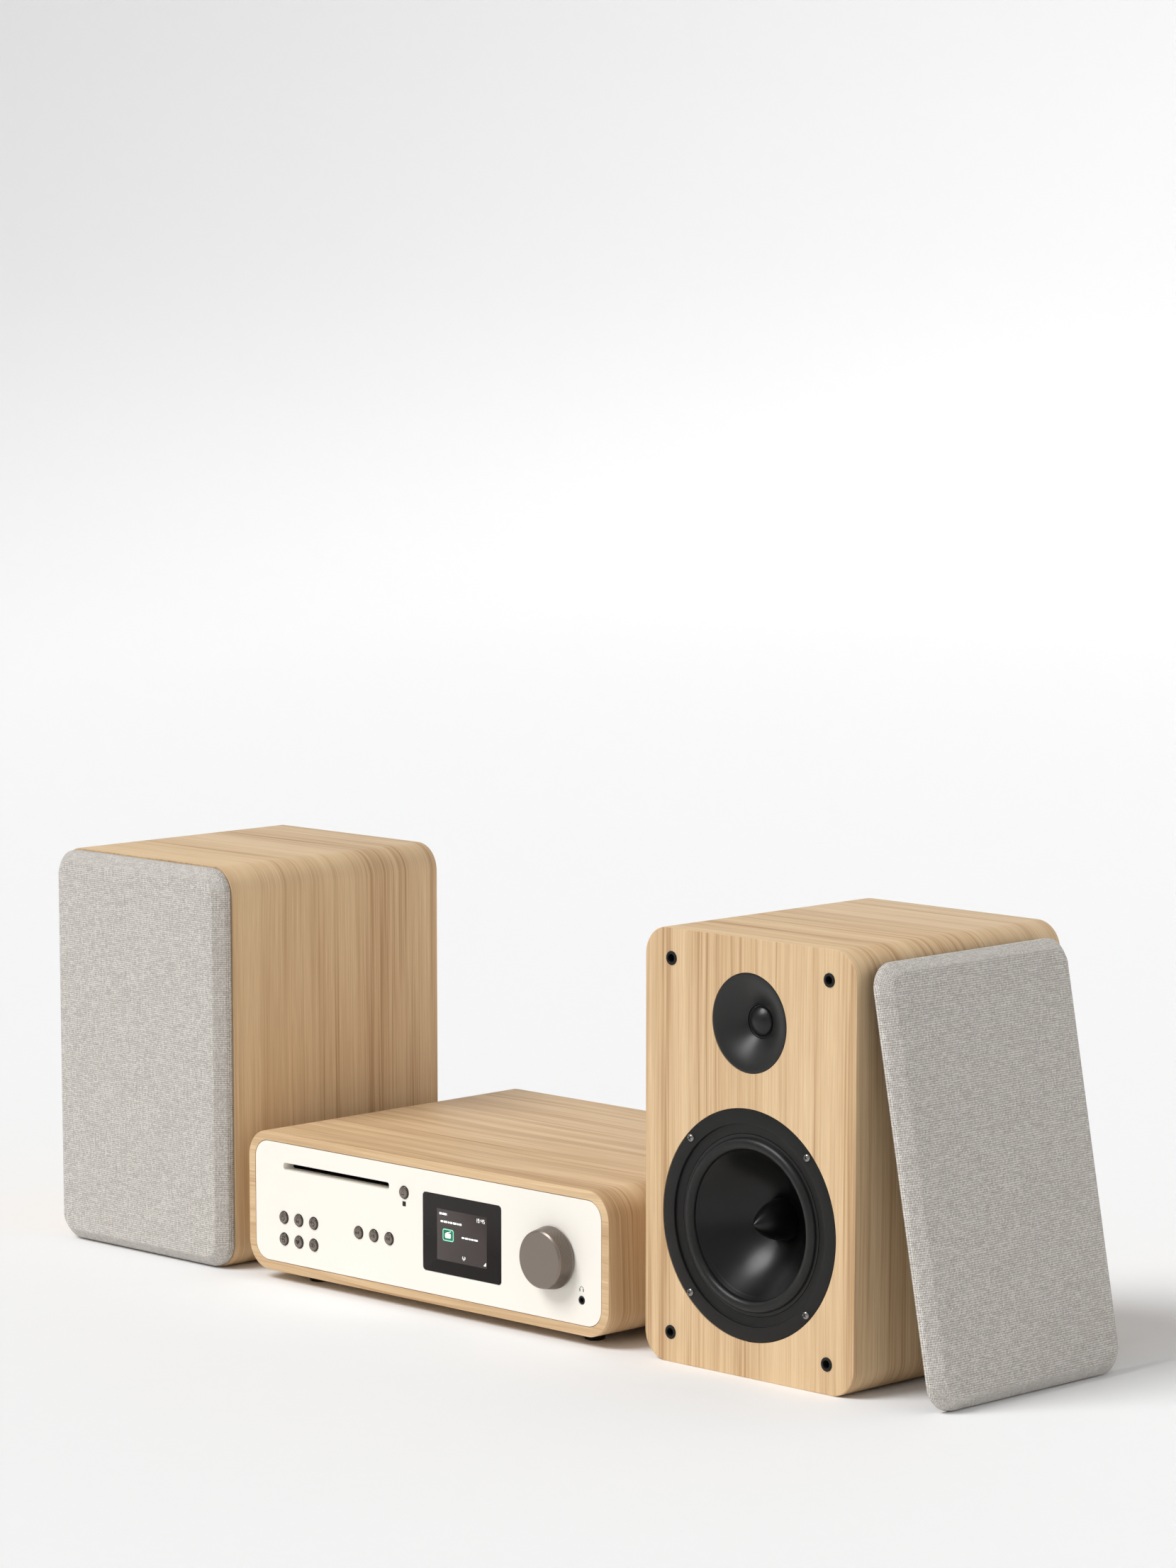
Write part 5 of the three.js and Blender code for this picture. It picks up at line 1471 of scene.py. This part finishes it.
class HIFI_OT_terminal_cups(BuildPart, Operator):
    """Build each speaker's rear terminal cup"""

    bl_idname = "hifi.terminal_cups"
    bl_label = "Terminal cups"

    def execute(self, context):
        for side in SIDES:
            low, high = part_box(f"{side}_terminal_cup")
            centre = middle_of(f"{side}_terminal_cup")
            face = high.y - 3 * MM
            floor = face - CUP_DEPTH
            outline = box_outline(centre, CUP_HALF_WIDTH, CUP_HALF_HEIGHT, CUP_CORNER, 8)
            profile = [(0, floor - 2.5 * MM), (0, face), (-7 * MM, face), (-7 * MM, high.y - 0.8 * MM)]
            profile += [(-6.2 * MM, high.y), (1.7 * MM, high.y)]
            profile += [(2.5 * MM, high.y - 0.8 * MM), (2.9 * MM, floor)]
            cup = prism(f"{side}_cup", outline, profile, plain("satin_black"))
            placed(cup, f"{side}_speaker", "black_plastic", f"{side}_terminal_cup")
            for end, tone in ((-1, "satin_black"), (1, "red_cap")):
                where = Vector((centre.x + end * 17 * MM, floor, centre.z))
                name = f"{side}_post_" + ("black" if end < 0 else "red")
                binding_post(name, where, plain(tone), f"{side}_speaker", 1.0)
            for number, (dx, dz) in enumerate(((-1, -1), (1, -1), (-1, 1), (1, 1))):
                out = 0.7 * MM
                x, z = centre.x + dx * (CUP_HALF_WIDTH + out), centre.z + dz * (CUP_HALF_HEIGHT + out)
                place = (x, high.y, z)
                head = (f"{side}_cup_screw_{number + 1}", place, 2.4 * MM, 0.9 * MM)
                placed(screw_head(*head, dark_screw(), 1), f"{side}_speaker", "black_plastic")
            outline = box_outline(centre, 30 * MM, 20 * MM, 3 * MM)
            profile = [(0.5 * MM, low.y), (0, low.y + 0.5 * MM), (0, floor - 2.6 * MM)]
            board = prism(f"{side}_crossover", outline, profile, plain("board_green"))
            placed(board, f"{side}_speaker", "circuit_board")
        return {"FINISHED"}


# ------------------------------------------------------------------ operators: grilles

GRILLE = {
    "inset": 1.4 * MM, "thick": 13.4 * MM, "chamfer_depth": 8 * MM, "chamfer_width": 8.5 * MM,
    "cloth": 0.8 * MM, "rail": 17 * MM, "opening_radius": 40 * MM,
}


# A grille's peg: radius, and reach out of the board's back, in millimetres
PEG = (
    (0, -0.5), (4.2, -0.5), (4.2, 0.6), (3.9, 0.9), (2.3, 0.9), (2.3, 9.0), (2.7, 9.4), (2.75, 10.0),
    (2.5, 11.0), (1.6, 11.6), (0, 11.7),
)


LEAN_FOOT, LEAN_BACK, LEAN_GAP = 70.4 * MM, 5 * MM, 0.3 * MM
PEG_REACH, PEG_RADIUS, PEG_ACROSS, PEG_UP = 11.7 * MM, 2.75 * MM, 27 * MM, 23.2 * MM


def lean_angle(height):
    """The angle from upright at which a grille's upper pegs rest against its speaker's side."""
    up = height - PEG_UP - GRILLE["inset"] + PEG_RADIUS
    return asin((LEAN_FOOT - LEAN_GAP) / hypot(up, PEG_REACH)) - atan2(PEG_REACH, up)


def grille_matrix(side):
    """Where a grille's own frame stands: x across, -y out of its face and z up."""
    origin, width, height = speaker_origin(side)
    if side == "left":
        return Matrix.Translation(origin - Vector((0, 1 * MM, 0)))
    lean = lean_angle(height)
    inset = GRILLE["inset"]
    out = Vector((cos(lean), 0, sin(lean)))
    up = Vector((-sin(lean), 0, cos(lean)))
    corner = Vector((origin.x + width + LEAN_FOOT, origin.y + LEAN_BACK, 0))
    axes = Matrix((Vector((0, 1, 0)), -out, up)).transposed().to_4x4()
    return Matrix.Translation(corner) @ axes @ Matrix.Translation((-inset, 0, -inset))


class HIFI_OT_grilles(BuildPart, Operator):
    """Build both grilles: a black board with its pegs, and the cloth stretched over it"""

    bl_idname = "hifi.grilles"
    bl_label = "Grilles"

    def execute(self, context):
        radius = context.scene.hifi_sizes.speaker_radius
        for side in SIDES:
            width, height = speaker_origin(side)[1:]
            corner = (width, height)
            outline = rectangle((0, 0), corner, radius, CORNER_STEPS, GRILLE["inset"])
            border = GRILLE["inset"] + GRILLE["rail"]
            opening = rectangle((0, 0), corner, GRILLE["opening_radius"] + border, CORNER_STEPS, border)
            matrix = grille_matrix(side)
            self.board(side, matrix, outline, opening)
            self.pegs(side, matrix)
            self.cloth(side, matrix, outline)
        return {"FINISHED"}

    def board(self, side, matrix, outline, opening):
        skin = GRILLE["cloth"] + 0.3 * MM
        face = -GRILLE["thick"] + skin
        wide, deep = GRILLE["chamfer_width"], GRILLE["chamfer_depth"]
        outer = [(skin + 0.4 * MM, 0), (skin, -0.4 * MM), (skin, face + deep), (skin + wide, face)]
        loops = [at(outline(inset), y) for inset, y in outer]
        loops += [at(opening(inset), y) for inset, y in ((0, face), (0, 0))]
        board = loft(f"{side}_grille_board", loops, plain("matt_black"), wrap=True)
        board.matrix_world = matrix
        placed(board, f"{side}_grille", "grille_board", f"{side}_grille_frame")

    def pegs(self, side, matrix):
        width, height = speaker_origin(side)[1:]
        left, right, low, high = PEG_ACROSS, width - PEG_ACROSS, PEG_UP, height - PEG_UP
        places = ((left, high), (right, high), (left, low), (right, low))
        for place, (x, z) in zip(SOCKET_PLACES, places):
            peg = turn(f"{side}_peg_{place}", mm(PEG), plain("satin_black"), steps=24)
            peg.matrix_world = matrix @ Matrix.Translation((x, 0, z))
            placed(peg, f"{side}_grille", "grille_board")

    def cloth(self, side, matrix, outline):
        """One skin over face, chamfer and sides, its folds a little rounded."""
        keys = ("thick", "chamfer_depth", "chamfer_width", "cloth")
        thick, deep, wide, skin = (GRILLE[key] for key in keys)
        slope = hypot(deep, wide)
        ease = 0.9 * MM

        def section(inset):
            fold_y, face_y = -thick + deep, -thick + inset
            along = (wide / slope * ease, deep / slope * ease)
            return [
                (inset, 0), (inset, -1.5 * MM), (inset, fold_y + ease + inset),
                (inset + 0.12 * MM, fold_y + inset),
                (inset + along[0], fold_y - along[1] + inset),
                (inset + wide - along[0], face_y + along[1]),
                (inset + wide, face_y + 0.12 * MM),
                (inset + wide + ease, face_y),
            ]

        outer, inner = section(0.0)[::-1], section(skin)
        base = outline(wide + ease)
        bm = bmesh.new()
        spots = []
        rows = []
        for skin_section, way in ((outer, 1), (inner, -1)):
            face_end = skin_section[0] if way > 0 else skin_section[-1]
            for inset, y in skin_section:
                rows.append([bm.verts.new(point) for point in at(outline(inset), y)])
                run = (face_end[0] - inset) * 1.2 + (y - face_end[1]) * 0.75
                spots += self.spread(base, run, side)
        bridge(bm, rows)
        bm.faces.new(rows[0])
        bm.faces.new(rows[-1])
        piece = finish_mesh(f"{side}_cloth", bm, grille_cloth(), 50)
        layer = piece.data.uv_layers.new(name="weave")
        for loop in piece.data.loops:
            layer.data[loop.index].uv = spots[loop.vertex_index]
        piece.matrix_world = matrix
        placed(piece, f"{side}_grille", "grille_cloth", f"{side}_grille_cloth")

    def spread(self, base, run, side):
        """Where a ring of the cloth lies on the flat cloth, run beyond the edge of its face."""
        seed = 0.0 if side == "left" else 0.41
        count = len(base)
        spots = []
        for i, (x, z) in enumerate(base):
            ahead, behind = base[(i + 1) % count], base[i - 1]
            dx, dz = ahead[0] - behind[0], ahead[1] - behind[1]
            length = hypot(dx, dz)
            spots.append((x + dz / length * run + seed, z - dx / length * run))
        return spots


# ------------------------------------------------------------------ stage


class HIFI_OT_stage(BuildPart, Operator):
    """Build the camera, the soft lights and the pale floor"""

    bl_idname = "hifi.stage"
    bl_label = "Camera, lights and floor"

    def execute(self, context):
        self.camera(context)
        self.lights(context)
        self.floor()
        return {"FINISHED"}

    def camera(self, context):
        stage = context.scene.hifi_stage
        data = bpy.data.cameras.new("camera")
        data.sensor_width = 36
        data.lens = stage.camera_lens
        data.shift_y = stage.camera_rise
        data.clip_end = 60
        camera = bpy.data.objects.new("camera", data)
        camera.location = stage.camera_place
        camera.rotation_euler = (pi / 2 - stage.camera_tilt, 0, stage.camera_turn)
        context.scene.collection.objects.link(camera)
        context.scene.camera = camera

    def lights(self, context):
        stage = context.scene.hifi_stage
        world = bpy.data.worlds.new("studio")
        world.use_nodes = True
        background = world.node_tree.nodes["Background"]
        background.inputs["Color"].default_value = (1, 1, 1, 1)
        background.inputs["Strength"].default_value = stage.sky
        context.scene.world = world
        context.scene.view_settings.view_transform = "Standard"
        aims = (
            ("key", (-0.30, -0.62, 0.78), 30, stage.key),
            ("fill", (0.72, -0.62, 0.3), 80, stage.fill),
        )
        for name, direction, spread, strength in aims:
            data = bpy.data.lights.new(name, "SUN")
            data.angle = radians(spread)
            data.energy = strength
            light = bpy.data.objects.new(name, data)
            light.rotation_euler = (-Vector(direction)).to_track_quat("-Z", "Y").to_euler()
            context.scene.collection.objects.link(light)

    def floor(self):
        """A round floor that curves up into a far wall."""
        flat, curve, top = 7.0, 3.0, 6.0
        turns = [pi / 2 * i / 12 for i in range(13)]
        profile = [(0, 0)] + [(flat + curve * sin(a), curve * (1 - cos(a))) for a in turns]
        profile.append((flat + curve, top))
        bm = bmesh.new()
        rows = [
            [bm.verts.new((x, y, z)) for x, y in (circle(0, 0, r, 96) if r else [(0, 0)])]
            for r, z in profile
        ]
        bridge(bm, rows)
        finish_mesh("floor", bm, self.floor_paper(), 60)

    def floor_paper(self):
        """Pale paper with painted shade, darker where it turns up into the wall."""
        finish = {"Roughness": 0.8, "Specular IOR Level": 0.2}
        material, tree, principled = new_material("Pale floor", finish)
        place = object_point(tree)
        rise = add(tree, "ShaderNodeSeparateXYZ", {0: place}).outputs["Z"]
        fibres = noise(tree, place, 60, 3)
        tone = blended(tree, fibres, paint(248, 248, 248), paint(250, 250, 250))
        # Painted shade: the paper darkens as it curves up into the wall.
        wall_shade = remap(tree, rise, 0.0, 0.8)
        link(tree, blended(tree, wall_shade, tone, paint(240, 240, 240)), principled)
        bump(tree, principled, fibres, 0.00005, 0.2)
        return material


# ------------------------------------------------------------------ add-on

PART_OPERATORS = (
    HIFI_OT_stage, HIFI_OT_cases, HIFI_OT_front_panel, HIFI_OT_buttons, HIFI_OT_volume_knob,
    HIFI_OT_display, HIFI_OT_feet, HIFI_OT_rear, HIFI_OT_insides, HIFI_OT_speaker_cases,
    HIFI_OT_woofers, HIFI_OT_tweeters, HIFI_OT_grille_sockets, HIFI_OT_terminal_cups, HIFI_OT_grilles,
)


class HIFI_PT_parts(Panel):
    """Lists the hifi's parts and settings"""

    bl_idname = "HIFI_PT_parts"
    bl_label = "Mini hifi system"
    bl_space_type = "VIEW_3D"
    bl_region_type = "UI"
    bl_category = "Hifi"

    def draw(self, context):
        scene = context.scene
        for operator in PART_OPERATORS:
            self.layout.operator(operator.bl_idname)
        for settings in (scene.hifi_finishes, scene.hifi_sizes, scene.hifi_stage):
            box = self.layout.box()
            for name in settings.__annotations__:
                box.prop(settings, name)


SETTINGS = {"hifi_finishes": HifiFinishes, "hifi_sizes": HifiSizes, "hifi_stage": HifiStage}
CLASSES = (*SETTINGS.values(), *PART_OPERATORS, HIFI_PT_parts)


def register():
    for cls in CLASSES:
        bpy.utils.register_class(cls)
    for name, group in SETTINGS.items():
        setattr(bpy.types.Scene, name, PointerProperty(type=group))


def unregister():
    for name in SETTINGS:
        delattr(bpy.types.Scene, name)
    for cls in reversed(CLASSES):
        bpy.utils.unregister_class(cls)


def main():
    """Builds everything."""
    for name in ("Cube", "Light", "Camera"):
        leftover = bpy.data.objects.get(name)
        if leftover:
            bpy.data.objects.remove(leftover)
    register()
    for operator in PART_OPERATORS:
        group, name = operator.bl_idname.split(".")
        getattr(getattr(bpy.ops, group), name)()


if __name__ == "__main__":
    main()
